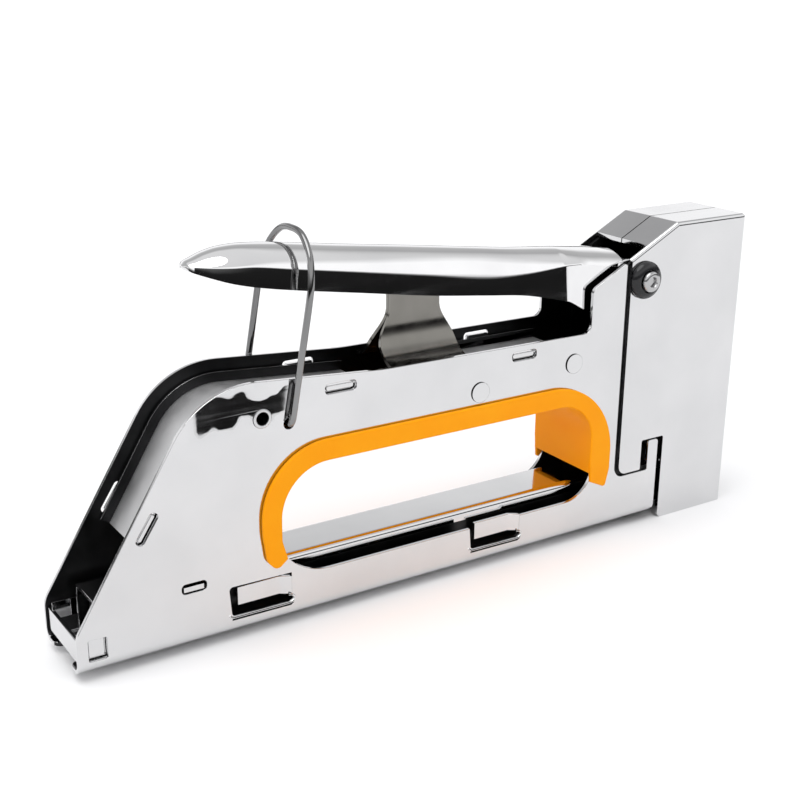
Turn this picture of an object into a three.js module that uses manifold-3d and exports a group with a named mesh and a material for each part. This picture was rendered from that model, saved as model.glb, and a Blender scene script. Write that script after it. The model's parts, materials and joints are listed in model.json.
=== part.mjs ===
// Squeeze-type staple tacker: two chromed side shells, a nose cover, a finger guard, a pressed
// squeeze lever with its wire lock, the rocker that lifts the sprung plunger, and a pull-out magazine.
// Millimetres. +X points to the nose, +Y away from the near side, +Z up. The origin is at the middle
// of the length and width, on the surface that the nose stands on.

import * as THREE from 'three';
import { mergeVertices } from 'three/addons/utils/BufferGeometryUtils.js';
import Module from 'manifold-3d';

const wasm = await Module();
wasm.setup();

// ---------- driving dimensions ----------
const LENGTH = 197.5;
const WIDTH = 22;
const SHEET = 1;
const NOSE_HEIGHT = 86;
const BASE_Z = 2;
const REAR = -LENGTH / 2;
const FRONT = LENGTH / 2;
const SIDE = WIDTH / 2;
const INNER = SIDE - SHEET;
const SLIP = 0.15;
const ARC_STEPS = 4;
const ROUND_SIDES = 16;

// side shells
const ROLL_RADIUS = 3;
const FLANGE_REACH = 4.5;
const TOP_CORNER = [-67, 63.8, 22];
const TOP_BEND = [-20, 60.2, 60];
const NECK_X = 44.2;
const NECK_TOP_Z = 71.2;
const SHELL_TOP_Z = 59.6;
const BEVEL_SLOPE = (NOSE_HEIGHT - NECK_TOP_Z) / (73 - NECK_X);
const SKIRT_X = 55.6;
const SKIRT_Z = 16;
const HOOK_FRONT_X = 71.5;
const HOOK_REAR_X = 67.9;
const HOOK_TOP_Z = 24.8;
const LEAF_REAR = 54.5;

// finger opening and guard
const OPENING = { rear: -50, front: 47.5, bottom: 12.5, top: 44 };
const GRIP = { rear: -48.4, front: 45.5, top: 40.8 };
const LIP = { rear: -53.7, front: 53.1, top: 46.7 };
const LIP_HEIGHT = 1.05;

// liner strip in the channel between the shells
const FLANGE_DEPTH = 2.9;
const WEB_DEPTH = 5.3;
const STRIP_SHEET = 0.9;
const STRIP_SIDE = 9.6;

// pivots, each as [x, z]
const LEVER_PIVOT = [61.8, 71.7];
const BAIL_PIVOT = [-45.6, 51.5];
const EYELET = [-52.4, 54];
const REAR_RIVET = [8.5, 49.5];
const FRONT_RIVET = [38.8, 52.1];
const ROCKER_PIVOT = [34, 48.8];
const LINK_PIVOT = [-5, 80];
const LINK_FOOT = [-5, 57];

// bail
const BAIL_LEAN = THREE.MathUtils.degToRad(10);
const BAIL_REACH = 43.2;
const BAIL_HALF = 12.4;
const BAIL_WIRE = 0.9;

// nose works
const PLUNGER_X = 88;
const BLADE_X = 94.4;
const SPRING_FOOT_Z = 58.3;
const SPRING_HEAD_Z = 81.9;

// magazine
const HOUSING = { rear: -92.4, front: 94, half: 6.9, top: 16.3, bottom: 3.3, sheet: 0.8 };
const RAIL = { rear: -90, front: 93.9, half: 4.7, top: 12.3, bottom: 3.6, sheet: 0.8 };
const STAPLE = { rear: 30, front: 94.1, half: 5.7, leg: 0.65, crown: 0.7, top: 13.2, bottom: 5.2 };
const ROD_Z = 8;

// slots with a strip ear in them: centre x and z, length, width, angle in degrees
const EAR_SLOTS = [
  [-81.1, 33.6, 8, 2.2, 57],
  [-31.8, 57.9, 8.5, 2.5, 0],
  [22.2, 57, 7.9, 2.5, 0],
];
const HOUSING_SLOT = [-70.6, 16.65, 6.2, 2.5, 0];
const CATCH_WINDOW = { rear: -96.2, front: -91.8, bottom: 5.1, top: 10.4 };
const TAB_WINDOWS = [-61.2, 7.2];
const TAB_WINDOW_LENGTH = 15.9;

// ---------- materials ----------
function metal(colour, roughness) {
  return new THREE.MeshStandardMaterial({ color: colour, metalness: 1, roughness });
}
const CHROME = metal(0xd9dadc, 0.12);
const STEEL = metal(0xa9aaac, 0.35);
const DARK_STEEL = metal(0x55565a, 0.45);
const ORANGE = new THREE.MeshStandardMaterial({ color: 0xff9c12, metalness: 0, roughness: 0.45 });
const BLACK = new THREE.MeshStandardMaterial({ color: 0x161616, metalness: 0, roughness: 0.35 });
const RUBBER = new THREE.MeshStandardMaterial({ color: 0x2a2a2a, metalness: 0, roughness: 0.8 });

// ---------- shape helpers ----------
// Points of a closed outline whose corners [x, y, radius] are rounded by arcs.
function outline(corners, steps = ARC_STEPS) {
  const points = [];
  corners.forEach(([x, y, radius = 0], index) => {
    const here = new THREE.Vector2(x, y);
    if (radius === 0) {
      points.push(here);
      return;
    }
    const [beforeX, beforeY] = corners.at(index - 1);
    const [afterX, afterY] = corners[(index + 1) % corners.length];
    const back = new THREE.Vector2(beforeX, beforeY).sub(here).normalize();
    const ahead = new THREE.Vector2(afterX, afterY).sub(here).normalize();
    const half = Math.acos(back.dot(ahead)) / 2;
    const bisector = back.clone().add(ahead).normalize();
    const centre = here.clone().addScaledVector(bisector, radius / Math.sin(half));
    const first = here.clone().addScaledVector(back, radius / Math.tan(half)).sub(centre);
    const last = here.clone().addScaledVector(ahead, radius / Math.tan(half)).sub(centre);
    const turn = Math.atan2(first.cross(last), first.dot(last));
    for (let step = 0; step <= steps; step += 1) {
      const angle = (turn * step) / steps;
      points.push(first.clone().rotateAround(new THREE.Vector2(), angle).add(centre));
    }
  });
  return points;
}

function shapeOf(points) {
  return new THREE.Shape(points);
}

function pull(shape, depth) {
  return new THREE.ExtrudeGeometry(shape, { depth, bevelEnabled: false, curveSegments: ARC_STEPS });
}

// A side-view outline in x and z, made solid between two widths.
function acrossY(points, low, high) {
  const geometry = pull(shapeOf(points), high - low);
  geometry.rotateX(Math.PI / 2);
  geometry.translate(0, high, 0);
  return geometry;
}

// A cross-section in y and z, made solid between two stations.
function alongX(points, low, high) {
  const geometry = pull(shapeOf(points), high - low);
  const turn = new THREE.Matrix4().makeBasis(
    new THREE.Vector3(0, 1, 0),
    new THREE.Vector3(0, 0, 1),
    new THREE.Vector3(1, 0, 0),
  );
  geometry.applyMatrix4(turn);
  geometry.translate(low, 0, 0);
  return geometry;
}

// A plan outline in x and y, made solid between two heights.
function upZ(points, low, high) {
  const geometry = pull(shapeOf(points), high - low);
  geometry.translate(0, 0, low);
  return geometry;
}

function block(x0, x1, y0, y1, z0, z1) {
  const geometry = new THREE.BoxGeometry(x1 - x0, y1 - y0, z1 - z0);
  geometry.translate((x0 + x1) / 2, (y0 + y1) / 2, (z0 + z1) / 2);
  return geometry;
}

function cylinderY([x, z], radius, y0, y1, sides = ROUND_SIDES) {
  const geometry = new THREE.CylinderGeometry(radius, radius, y1 - y0, sides);
  geometry.translate(x, (y0 + y1) / 2, z);
  return geometry;
}

function cylinderX(x0, x1, z, radius, sides = 12) {
  const geometry = new THREE.CylinderGeometry(radius, radius, x1 - x0, sides);
  geometry.rotateZ(Math.PI / 2);
  geometry.translate((x0 + x1) / 2, 0, z);
  return geometry;
}

function cylinderZ(x, z0, z1, radius, sides = ROUND_SIDES) {
  const geometry = new THREE.CylinderGeometry(radius, radius, z1 - z0, sides);
  geometry.rotateX(Math.PI / 2);
  geometry.translate(x, 0, (z0 + z1) / 2);
  return geometry;
}

// A round piece on a cross axis: its profile is [radius, y] pairs, closed on itself.
function turnedY([x, z], profile, sides = ROUND_SIDES) {
  const points = profile.map(([radius, y]) => new THREE.Vector2(radius, y));
  const upwards = THREE.ShapeUtils.area(points) > 0 ? points : points.reverse();
  const geometry = new THREE.LatheGeometry([...upwards, upwards[0]], sides);
  geometry.translate(x, 0, z);
  return geometry;
}

function rectangle(x0, x1, y0, y1, radius = 0, steps = 2) {
  return outline([[x0, y0, radius], [x1, y0, radius], [x1, y1, radius], [x0, y1, radius]], steps);
}

function slotOutline([x, z, length, width, degrees], shrink = 0) {
  const halfLength = length / 2 - shrink;
  const halfWidth = width / 2 - shrink;
  const flat = rectangle(-halfLength, halfLength, -halfWidth, halfWidth, halfWidth * 0.98);
  const angle = THREE.MathUtils.degToRad(degrees);
  const centre = new THREE.Vector2(x, z);
  return flat.map((point) => point.rotateAround(new THREE.Vector2(), angle).add(centre));
}

// ---------- solids ----------
function solid(item) {
  if (item instanceof wasm.Manifold) {
    return item;
  }
  const bare = item.clone();
  bare.deleteAttribute('normal');
  bare.deleteAttribute('uv');
  const merged = mergeVertices(bare, 1e-4);
  return new wasm.Manifold(new wasm.Mesh({
    numProp: 3,
    vertProperties: new Float32Array(merged.attributes.position.array),
    triVerts: new Uint32Array(merged.index.array),
  }));
}

function join(first, ...rest) {
  return rest.reduce((sum, item) => sum.add(solid(item)), solid(first));
}

function cut(first, ...rest) {
  return rest.reduce((left, item) => left.subtract(solid(item)), solid(first));
}

function keep(first, ...rest) {
  return rest.reduce((left, item) => left.intersect(solid(item)), solid(first));
}

function surfaceOf(shape) {
  const { vertProperties, triVerts } = shape.getMesh();
  const geometry = new THREE.BufferGeometry();
  geometry.setAttribute('position', new THREE.BufferAttribute(vertProperties, 3));
  geometry.setIndex(new THREE.BufferAttribute(triVerts, 1));
  geometry.computeVertexNormals();
  return geometry;
}

const tacker = new THREE.Group();

function add(name, item, material) {
  const geometry = item instanceof wasm.Manifold ? surfaceOf(item) : item;
  const piece = new THREE.Mesh(geometry, material);
  piece.name = name;
  tacker.add(piece);
  return piece;
}

// The same solid on the far side of the middle plane.
function mirrored(shape) {
  return solid(shape).mirror([0, 1, 0]);
}

// ---------- side shells ----------
function bevelZ(x) {
  return NECK_TOP_Z + BEVEL_SLOPE * (x - NECK_X);
}

function shellOutline() {
  const rearSlope = (TOP_CORNER[1] - 11.6) / (TOP_CORNER[0] - REAR);
  return outline([
    [REAR, BASE_Z, ROLL_RADIUS],
    [HOOK_FRONT_X, BASE_Z],
    [HOOK_FRONT_X, HOOK_TOP_Z, 1],
    [HOOK_REAR_X, HOOK_TOP_Z, 0.4],
    [HOOK_REAR_X, SKIRT_Z, 0.4],
    [SKIRT_X, SKIRT_Z, 3.2],
    [SKIRT_X, bevelZ(SKIRT_X), 0.5],
    [NECK_X, NECK_TOP_Z, 2],
    [NECK_X, SHELL_TOP_Z, 2.2],
    TOP_BEND,
    TOP_CORNER,
    [REAR, TOP_CORNER[1] - rearSlope * (TOP_CORNER[0] - REAR), 6],
  ]);
}

function openingOutline(inset = 0) {
  return outline([
    [OPENING.rear + inset, OPENING.bottom + inset, 15 - inset],
    [OPENING.front - inset, OPENING.bottom + inset, 9 - inset],
    [OPENING.front - inset, OPENING.top - inset, 17 - inset],
    [OPENING.rear + inset, OPENING.top - inset, 14.5 - inset],
  ], 7);
}

// The bottom edge rolls inwards and ends in a flat flange that the tool stands on.
function rolledEdge() {
  const centre = -SIDE + ROLL_RADIUS;
  const rollTop = BASE_Z + ROLL_RADIUS;
  const outer = outline([
    [-SIDE, rollTop + 1],
    [-SIDE, BASE_Z, ROLL_RADIUS],
    [-FLANGE_REACH, BASE_Z],
    [-FLANGE_REACH, BASE_Z + SHEET],
    [centre, BASE_Z + SHEET],
    [-INNER, BASE_Z + SHEET, ROLL_RADIUS - SHEET],
    [-INNER, rollTop + 1],
  ]);
  return alongX(outer, REAR, HOOK_FRONT_X);
}

// A tab pressed in from the wall to locate the magazine housing, still joined at its front end.
function locatingTab(start) {
  const out = -SIDE;
  const inward = out + 1.6;
  const bendEnd = start + 12.6;
  const root = start + TAB_WINDOW_LENGTH;
  const plan = outline([
    [root + 0.7, out],
    [root - 0.4, out],
    [bendEnd, inward],
    [start + 2.3, inward],
    [start + 2.3, inward + SHEET],
    [bendEnd + 0.5, inward + SHEET],
    [root, out + SHEET],
    [root + 0.7, out + SHEET],
  ]);
  return upZ(plan, 7.9, 12.8);
}

function tabWindow(start) {
  return acrossY(rectangle(start, start + TAB_WINDOW_LENGTH, 6.9, 14, 0.8), -SIDE - 1, -INNER + 1);
}

// The shell's inner leaf stands under the nose cover and carries the lever bolt.
function noseLeaf() {
  const outer = -INNER + SLIP;
  const leafTop = NOSE_HEIGHT - SHEET - 0.6;
  const drop = 1.5;
  const bevelEnd = NECK_X + (leafTop + drop - NECK_TOP_Z) / BEVEL_SLOPE;
  const side = outline([
    [LEAF_REAR, 5.3, 1],
    [72.6, 5.3],
    [72.6, 1.2],
    [FRONT - 1.4, 1.2],
    [FRONT - 1.4, leafTop],
    [bevelEnd, leafTop],
    [LEAF_REAR, bevelZ(LEAF_REAR) - drop],
  ]);
  const leaf = cut(
    acrossY(side, outer, outer + SHEET),
    acrossY(rectangle(64.6, 70, 17, 27, 0.5), outer - 1, outer + 2),
    cylinderY(LEVER_PIVOT, 2.8, outer - 1, outer + 2),
  );
  const joggle = block(58.5, HOOK_FRONT_X - 1, -INNER - 0.1, outer + 0.1, 6, SKIRT_Z - 1);
  return join(leaf, joggle);
}

function nearShell() {
  const plate = cut(
    acrossY(shellOutline(), -SIDE, -INNER),
    block(REAR - 1, HOOK_FRONT_X + 1, -SIDE - 1, 0, 0, BASE_Z + ROLL_RADIUS),
    acrossY(openingOutline(), -SIDE - 1, 0),
  );
  const rounded = keep(join(plate, rolledEdge()), acrossY(shellOutline(), -SIDE - 1, 0));
  const slots = [...EAR_SLOTS, HOUSING_SLOT].map((slot) => acrossY(slotOutline(slot), -SIDE - 1, -INNER + 1));
  const catchHole = rectangle(
    CATCH_WINDOW.rear,
    CATCH_WINDOW.front,
    CATCH_WINDOW.bottom,
    CATCH_WINDOW.top,
    0.4,
  );
  const pierced = cut(
    rounded,
    ...slots,
    ...TAB_WINDOWS.map(tabWindow),
    acrossY(catchHole, -SIDE - 1, -INNER + 1),
    cylinderY(EYELET, 2.05, -SIDE - 1, 0),
    cylinderY(BAIL_PIVOT, 1.4, -SIDE - 1, 0),
    cylinderY(REAR_RIVET, 1.35, -SIDE - 1, 0),
    cylinderY(FRONT_RIVET, 1.35, -SIDE - 1, 0),
  );
  return join(pierced, ...TAB_WINDOWS.map(locatingTab), noseLeaf());
}

// ---------- nose cover ----------
function coverOutline() {
  return outline([
    [73.3, 0, 1.2],
    [FRONT, 0, 0.8],
    [FRONT, NOSE_HEIGHT, 0.8],
    [NECK_X + (NOSE_HEIGHT - NECK_TOP_Z) / BEVEL_SLOPE, NOSE_HEIGHT, 0.6],
    [57.2, bevelZ(57.2), 0.6],
    [57.2, SKIRT_Z + 0.6, 2.6],
    [65.2, SKIRT_Z + 0.6, 0.3],
    [65.2, HOOK_TOP_Z + 0.5, 0.4],
    [73.3, HOOK_TOP_Z + 0.5, 0.6],
  ]);
}

function frontCover() {
  const plan = rectangle(NECK_X, FRONT, -SIDE, SIDE, 1.2);
  const outside = keep(acrossY(coverOutline(), -SIDE, SIDE), upZ(plan, -1, NOSE_HEIGHT + 1));
  const roof = NOSE_HEIGHT - SHEET;
  const bevelDrop = SHEET * Math.hypot(1, BEVEL_SLOPE);
  const cavity = outline([
    [NECK_X - 2, -1],
    [FRONT - SHEET, -1],
    [FRONT - SHEET, roof],
    [NECK_X + (roof + bevelDrop - NECK_TOP_Z) / BEVEL_SLOPE, roof],
    [NECK_X - 2, bevelZ(NECK_X - 2) - bevelDrop],
  ]);
  return cut(
    outside,
    acrossY(cavity, -INNER, INNER),
    block(NECK_X - 2, 62.9, -INNER, INNER, 60, 90),
    block(60, FRONT - SHEET, -SLIP, SLIP, 75, 90),
    cylinderY(LEVER_PIVOT, 2.8, -SIDE - 1, SIDE + 1),
  );
}

// ---------- finger guard ----------
function guardLip() {
  return outline([
    [-49.9, 15.8, 1.6],
    [-52.5, 18.6, 4],
    [LIP.rear, 25.5],
    [LIP.rear, LIP.top, 17.5],
    [LIP.front, LIP.top, 19.5],
    [LIP.front, 20, 6],
    [51.4, 14.8, 0.8],
    [46, 17.3, 0.4],
    [GRIP.front, 24, 5],
    [GRIP.front, GRIP.top, 11],
    [GRIP.rear, GRIP.top, 12.5],
    [GRIP.rear, 23, 5],
    [-47, 18.2, 0.5],
  ], 6);
}

function gripVoid() {
  return outline([
    [GRIP.rear, 0],
    [GRIP.front, 0],
    [GRIP.front, GRIP.top, 11],
    [GRIP.rear, GRIP.top, 12.5],
  ], 6);
}

function fingerGuard() {
  const face = SIDE + SLIP;
  const liner = cut(
    acrossY(openingOutline(0.25), -face - 0.1, face + 0.1),
    acrossY(gripVoid(), -SIDE - 2, SIDE + 2),
    block(-60, 0, -SIDE - 2, SIDE + 2, 0, 22.5),
    block(0, 60, -SIDE - 2, SIDE + 2, 0, 20),
  );
  const nearLip = acrossY(guardLip(), -face - LIP_HEIGHT, -face);
  const farLip = acrossY(guardLip(), face, face + LIP_HEIGHT);
  return join(liner, nearLip, farLip);
}

// ---------- liner strips ----------
// An open line of corners [x, z, radius] moved inwards, to the right of its direction.
function inset(corners, depth) {
  const points = corners.map(([x, z]) => new THREE.Vector2(x, z));
  const normals = points.slice(1).map((point, index) => {
    const along = point.clone().sub(points[index]).normalize();
    return new THREE.Vector2(along.y, -along.x);
  });
  return points.map((point, index) => {
    const before = normals[Math.max(index - 1, 0)];
    const after = normals[Math.min(index, normals.length - 1)];
    const shift = before.clone().add(after).divideScalar(1 + before.dot(after));
    const moved = point.clone().addScaledVector(shift, depth);
    const radius = corners[index][2] ?? 0;
    return [moved.x, moved.y, radius === 0 ? 0 : radius - depth];
  });
}

function ribbon(corners, shallow, deep) {
  return outline([...inset(corners, shallow), ...inset(corners, deep).reverse()]);
}

function ear(slot) {
  return acrossY(slotOutline(slot, 0.5), STRIP_SIDE - 0.4, SIDE - 0.3);
}

function channelStrip(line, slots) {
  const wall = ribbon(line, FLANGE_DEPTH, WEB_DEPTH + STRIP_SHEET);
  const web = acrossY(ribbon(line, WEB_DEPTH, WEB_DEPTH + STRIP_SHEET), -STRIP_SIDE, STRIP_SIDE);
  const farSide = join(acrossY(wall, STRIP_SIDE - STRIP_SHEET, STRIP_SIDE), ...slots.map(ear));
  return join(web, farSide, mirrored(farSide));
}

function spineStrip() {
  const line = [[-87.1, 30.7], TOP_CORNER, TOP_BEND.slice(0, 2)];
  const strip = channelStrip(line, EAR_SLOTS.slice(0, 2));
  return cut(strip, block(-50, -48.9, -STRIP_SIDE - 1, -2, 55, 60));
}

// The front strip's side legs hold the rocker's pin.
function rockerBracket() {
  const line = [[6.4, 59.94], [40.6, SHELL_TOP_Z]];
  const leg = cut(
    acrossY(outline([
      [6.4, 56],
      [6.4, 47, 1],
      [30, 45, 3],
      [38, 45, 2],
      [41.6, 49, 2],
      [41.6, 54.5],
      [40.6, 55.5],
      [40.6, 56],
    ]), STRIP_SIDE - STRIP_SHEET, STRIP_SIDE),
    cylinderY(REAR_RIVET, 1.3, 5, 12),
    cylinderY(FRONT_RIVET, 1.3, 5, 12),
    cylinderY(ROCKER_PIVOT, 1.65, 5, 12),
  );
  const rivetRoom = cylinderY(FRONT_RIVET, 2.35, 7.5, STRIP_SIDE - STRIP_SHEET, 12);
  const bracket = join(channelStrip(line, EAR_SLOTS.slice(2)), leg, mirrored(leg));
  return cut(bracket, rivetRoom, mirrored(rivetRoom));
}

// ---------- squeeze lever ----------
// Stations along the lever: x, half width at the shoulder, outward lean of the wall, crown height,
// shoulder height and lower edge height.
const LEVER_STATIONS = [
  [-65.6, 0.9, 0, 88.6, 88.3, 87.8],
  [-64.8, 2.5, 0.2, 89.3, 88.5, 87.5],
  [-63.2, 3.9, 0.3, 89.9, 88.4, 86.9],
  [-60.3, 5.5, 0.45, 90.95, 88.2, 85.9],
  [-56.5, 6.8, 0.6, 91.75, 88, 84.7],
  [-51, 7.4, 0.8, 91.95, 87.7, 83.4],
  [-42, 7.6, 0.85, 91.15, 86.2, 81.7],
  [-25, 7.6, 0.85, 88.9, 83.4, 78.9],
  [-5, 7.6, 0.85, 86.4, 80, 75.6],
  [12, 7.6, 0.85, 84.2, 77.2, 73.4],
  [24, 7.6, 0.85, 82.7, 76.8, 71.8],
  [36.8, 7.6, 0.85, 81.5, 77.5, 68.8],
  [38.8, 8.1, 0, 81.3, 77.6, 68.1],
  [44, 8.5, 0, 80.7, 77.4, 65.3],
  [50, 8.6, 0, 80, 76.4, 63.9],
  [57, 8.6, 0, 79, 75.4, 63.6],
];
const LEVER_SHEET = 1.2;
const CROWN_STEPS = 8;
const CROWN_TURN = THREE.MathUtils.degToRad(80);

function leverSection([x, half, lean, crown, shoulder, edge]) {
  const sheet = Math.min(LEVER_SHEET, half * 0.4);
  const lift = Math.min(LEVER_SHEET, (crown - edge) * 0.4);
  const outside = [[-half - lean, edge]];
  const inside = [[-half - lean + sheet, edge]];
  for (let step = 0; step <= CROWN_STEPS; step += 1) {
    const angle = CROWN_TURN * ((2 * step) / CROWN_STEPS - 1);
    const across = Math.sin(angle) / Math.sin(CROWN_TURN);
    const fall = (1 - Math.cos(angle)) / (1 - Math.cos(CROWN_TURN));
    const depth = lift * (1 - 0.75 * fall);
    outside.push([half * across, crown - (crown - shoulder) * fall]);
    inside.push([(half - sheet) * across, crown - (crown - shoulder) * fall - depth]);
  }
  outside.push([half + lean, edge]);
  inside.push([half + lean - sheet, edge]);
  return [...outside, ...inside.reverse()].map(([y, z]) => new THREE.Vector3(x, y, z));
}

// A bent sheet skinned over a row of matching sections, each an outer line and an inner line back.
function skinned(sections) {
  const size = sections[0].length;
  const positions = sections.flat().flatMap((point) => point.toArray());
  const faces = [];
  for (let row = 0; row < sections.length - 1; row += 1) {
    for (let spot = 0; spot < size; spot += 1) {
      const next = (spot + 1) % size;
      const a = row * size + spot;
      const b = row * size + next;
      faces.push(a, a + size, b, b, a + size, b + size);
    }
  }
  const lastRow = (sections.length - 1) * size;
  for (let spot = 0; spot < size / 2 - 1; spot += 1) {
    const mate = size - 1 - spot;
    faces.push(spot, spot + 1, mate, spot + 1, mate - 1, mate);
    faces.push(lastRow + spot, lastRow + mate, lastRow + spot + 1);
    faces.push(lastRow + spot + 1, lastRow + mate, lastRow + mate - 1);
  }
  const geometry = new THREE.BufferGeometry();
  geometry.setAttribute('position', new THREE.Float32BufferAttribute(positions, 3));
  geometry.setIndex(faces);
  return geometry;
}

function squeezeLever() {
  const shell = solid(skinned(LEVER_STATIONS.map(leverSection)));
  const [pivotX, pivotZ] = LEVER_PIVOT;
  const cheek = acrossY(outline([
    [50, 64.1],
    [pivotX + 6.5, pivotZ - 6.5, 5.9],
    [pivotX + 6.5, pivotZ + 6.5, 5.9],
    [50, 76.2],
  ]), 7.4, 8.6);
  return cut(join(shell, cheek, mirrored(cheek)), cylinderY(LEVER_PIVOT, 2.65, -12, 12));
}

function linkBracket() {
  const [x, z] = LINK_PIVOT;
  const saddle = cut(
    block(x - 3, x + 3, -2.7, 2.7, z - 2.2, z + 3.9),
    block(x - 4, x + 4, -1.5, 1.5, z - 3, z + 3),
  );
  return cut(saddle, cylinderY(LINK_PIVOT, 1.3, -5, 5, 16));
}

// ---------- lever link ----------
// A folded plate: one flat stem at the top that spreads into two side legs.
function leverLink() {
  const half = STRIP_SIDE - 0.2;
  const flareZ = 70;
  const foot = 53.2;
  const fall = 10.8;
  const side = (reach, sheet) => {
    const points = [];
    for (let step = 0; step <= 8; step += 1) {
      const angle = (Math.PI / 2) * (step / 8);
      const across = (reach - sheet) * Math.cos(angle);
      points.push([half - across, flareZ - (fall + SHEET - sheet) * Math.sin(angle)]);
    }
    return points;
  };
  const outer = side(half, 1);
  const inner = side(half, 0).filter(([y]) => y < half - SHEET);
  const right = [[1, 82.2], ...outer, [half, foot], [half - SHEET, foot], ...inner.reverse()];
  const left = right.slice(0, -1).reverse().map(([y, z]) => [-y, z]);
  const arch = alongX([...right, ...left].map(([y, z]) => new THREE.Vector2(y, z)), -20, 10);
  const view = outline([
    [-12, 82.2, 3],
    [-12, flareZ - 1, 7],
    [-16, 62.6, 3],
    [-16, 58.5, 1.5],
    [-12.5, foot, 1],
    [2.4, foot, 1],
    [5.8, 58.5, 1.5],
    [5.8, 62.6, 3],
    [2.4, flareZ - 1, 7],
    [2.4, 82.2, 3],
  ]);
  return cut(
    keep(arch, acrossY(view, -12, 12)),
    cylinderY(LINK_PIVOT, 1.3, -5, 5, 16),
    cylinderY(LINK_FOOT, 1.65, -12, 12, 16),
  );
}

// ---------- rocker ----------
function rockerArm() {
  const [eyeX, eyeZ] = LINK_FOOT;
  const side = outline([
    [eyeX - 3.3, eyeZ + 3.3, 3],
    [eyeX + 4, eyeZ + 3.3, 2],
    [6, 53.1, 3],
    [31, 53.1],
    [40, 51.4],
    [80, 49.3],
    [91, 48.6, 1.6],
    [91, 44.4, 1.6],
    [80, 44.4],
    [40, 45],
    [30, 45.2],
    [10, 49.8],
    [eyeX - 3.3, eyeZ - 3.3, 3],
  ]);
  const eyeRoom = block(eyeX - 6, eyeX + 9, 3.3, 5, 48, 64);
  return cut(
    acrossY(side, -4.2, 4.2),
    eyeRoom,
    mirrored(eyeRoom),
    block(42, 78, -2.8, 2.8, 40, 47.6),
    cylinderY(ROCKER_PIVOT, 1.6, -6, 6),
    cylinderY(LINK_FOOT, 2.15, -6, 6),
  );
}

// ---------- plunger group ----------
function plunger() {
  const body = block(82, 94, -7.5, 7.5, 21.8, 58);
  const lug = block(93.9, 95.4, -2.2, 2.2, 36.3, 40.7);
  const boss = cylinderZ(PLUNGER_X, 57, 64, 3);
  return cut(join(body, lug, boss), block(81, 92.6, -5.2, 5.2, 42.7, 50.4));
}

function driverBlade() {
  return cut(
    block(BLADE_X, BLADE_X + 1.2, -5.7, 5.7, 0.9, 45),
    block(BLADE_X - 1, BLADE_X + 2, -2.5, 2.5, 36, 41),
  );
}

class Helix extends THREE.Curve {
  constructor(radius, length, turns) {
    super();
    this.radius = radius;
    this.length = length;
    this.turns = turns;
  }

  getPoint(t, target = new THREE.Vector3()) {
    const angle = t * this.turns * 2 * Math.PI;
    return target.set(this.radius * Math.cos(angle), this.radius * Math.sin(angle), t * this.length);
  }
}

function coil(radius, length, turns, wire, stepsPerTurn, sides) {
  const path = new Helix(radius, length - 2 * wire, turns);
  path.arcLengthDivisions = turns * stepsPerTurn * 4;
  const points = [];
  for (let side = 0; side < sides; side += 1) {
    const angle = (2 * Math.PI * side) / sides;
    points.push(new THREE.Vector2(wire * Math.cos(angle), wire * Math.sin(angle)));
  }
  return new THREE.ExtrudeGeometry(new THREE.Shape(points), {
    steps: turns * stepsPerTurn,
    extrudePath: path,
    bevelEnabled: false,
  });
}

function driveSpring() {
  const geometry = coil(5.3, SPRING_HEAD_Z - SPRING_FOOT_Z, 5, 1, 12, 5);
  geometry.translate(PLUNGER_X, 0, SPRING_FOOT_Z + 1);
  return geometry;
}

function springCap() {
  return join(
    cylinderZ(PLUNGER_X, SPRING_HEAD_Z + 0.4, NOSE_HEIGHT - SHEET - 0.3, 7.2),
    cylinderZ(PLUNGER_X, 76, SPRING_HEAD_Z + 1, 3),
  );
}

// ---------- magazine ----------
function invertedChannel({ half, top, bottom, sheet }, radius) {
  return outline([
    [-half, bottom],
    [-half, top, radius],
    [half, top, radius],
    [half, bottom],
    [half - sheet, bottom],
    [half - sheet, top - sheet, Math.max(radius - sheet, 0)],
    [-half + sheet, top - sheet, Math.max(radius - sheet, 0)],
    [-half + sheet, bottom],
  ]);
}

function magazineHousing() {
  const channel = alongX(invertedChannel(HOUSING, 1.6), HOUSING.rear, HOUSING.front);
  const [x, , length] = HOUSING_SLOT;
  const halfEar = length / 2 - 0.6;
  const wing = block(x - halfEar, x + halfEar, HOUSING.half - 0.5, SIDE - 0.3, 15.7, 17);
  const wingRoot = block(x - halfEar, x + halfEar, HOUSING.half - 1.4, HOUSING.half, 15.7, 16.25);
  return join(channel, wing, wingRoot, mirrored(wing), mirrored(wingRoot));
}

function stapleRail() {
  const channel = alongX(invertedChannel(RAIL, 0), RAIL.rear, RAIL.front);
  const inside = RAIL.half - RAIL.sheet / 2;
  const stops = [-80, 87].map((x) => block(x, x + 1.2, -inside, inside, 4.6, RAIL.top - 0.4));
  return cut(
    join(channel, ...stops),
    block(-75, 86, -1.2, 1.2, 10, 14),
    cylinderX(-84, 92, ROD_Z, 1.35),
  );
}

function stapleStrip() {
  const { half, leg, crown, top, bottom } = STAPLE;
  const section = outline([
    [-half, bottom],
    [-half, top, 0.5],
    [half, top, 0.5],
    [half, bottom],
    [half - leg, bottom],
    [half - leg, top - crown],
    [-half + leg, top - crown],
    [-half + leg, bottom],
  ], 2);
  return alongX(section, STAPLE.rear, STAPLE.front);
}

function staplePusher() {
  const front = STAPLE.rear - 0.3;
  const rear = front - 25;
  const saddle = alongX(invertedChannel({ ...STAPLE, sheet: 0.7 }, 0.5), rear, front);
  const neck = block(rear, rear + 5, -0.9, 0.9, 10, STAPLE.top - 0.3);
  const slider = block(rear, rear + 5, -3, 3, 5, 11);
  return cut(join(saddle, neck, slider), cylinderX(rear - 1, rear + 6, ROD_Z, 1.45));
}

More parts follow.
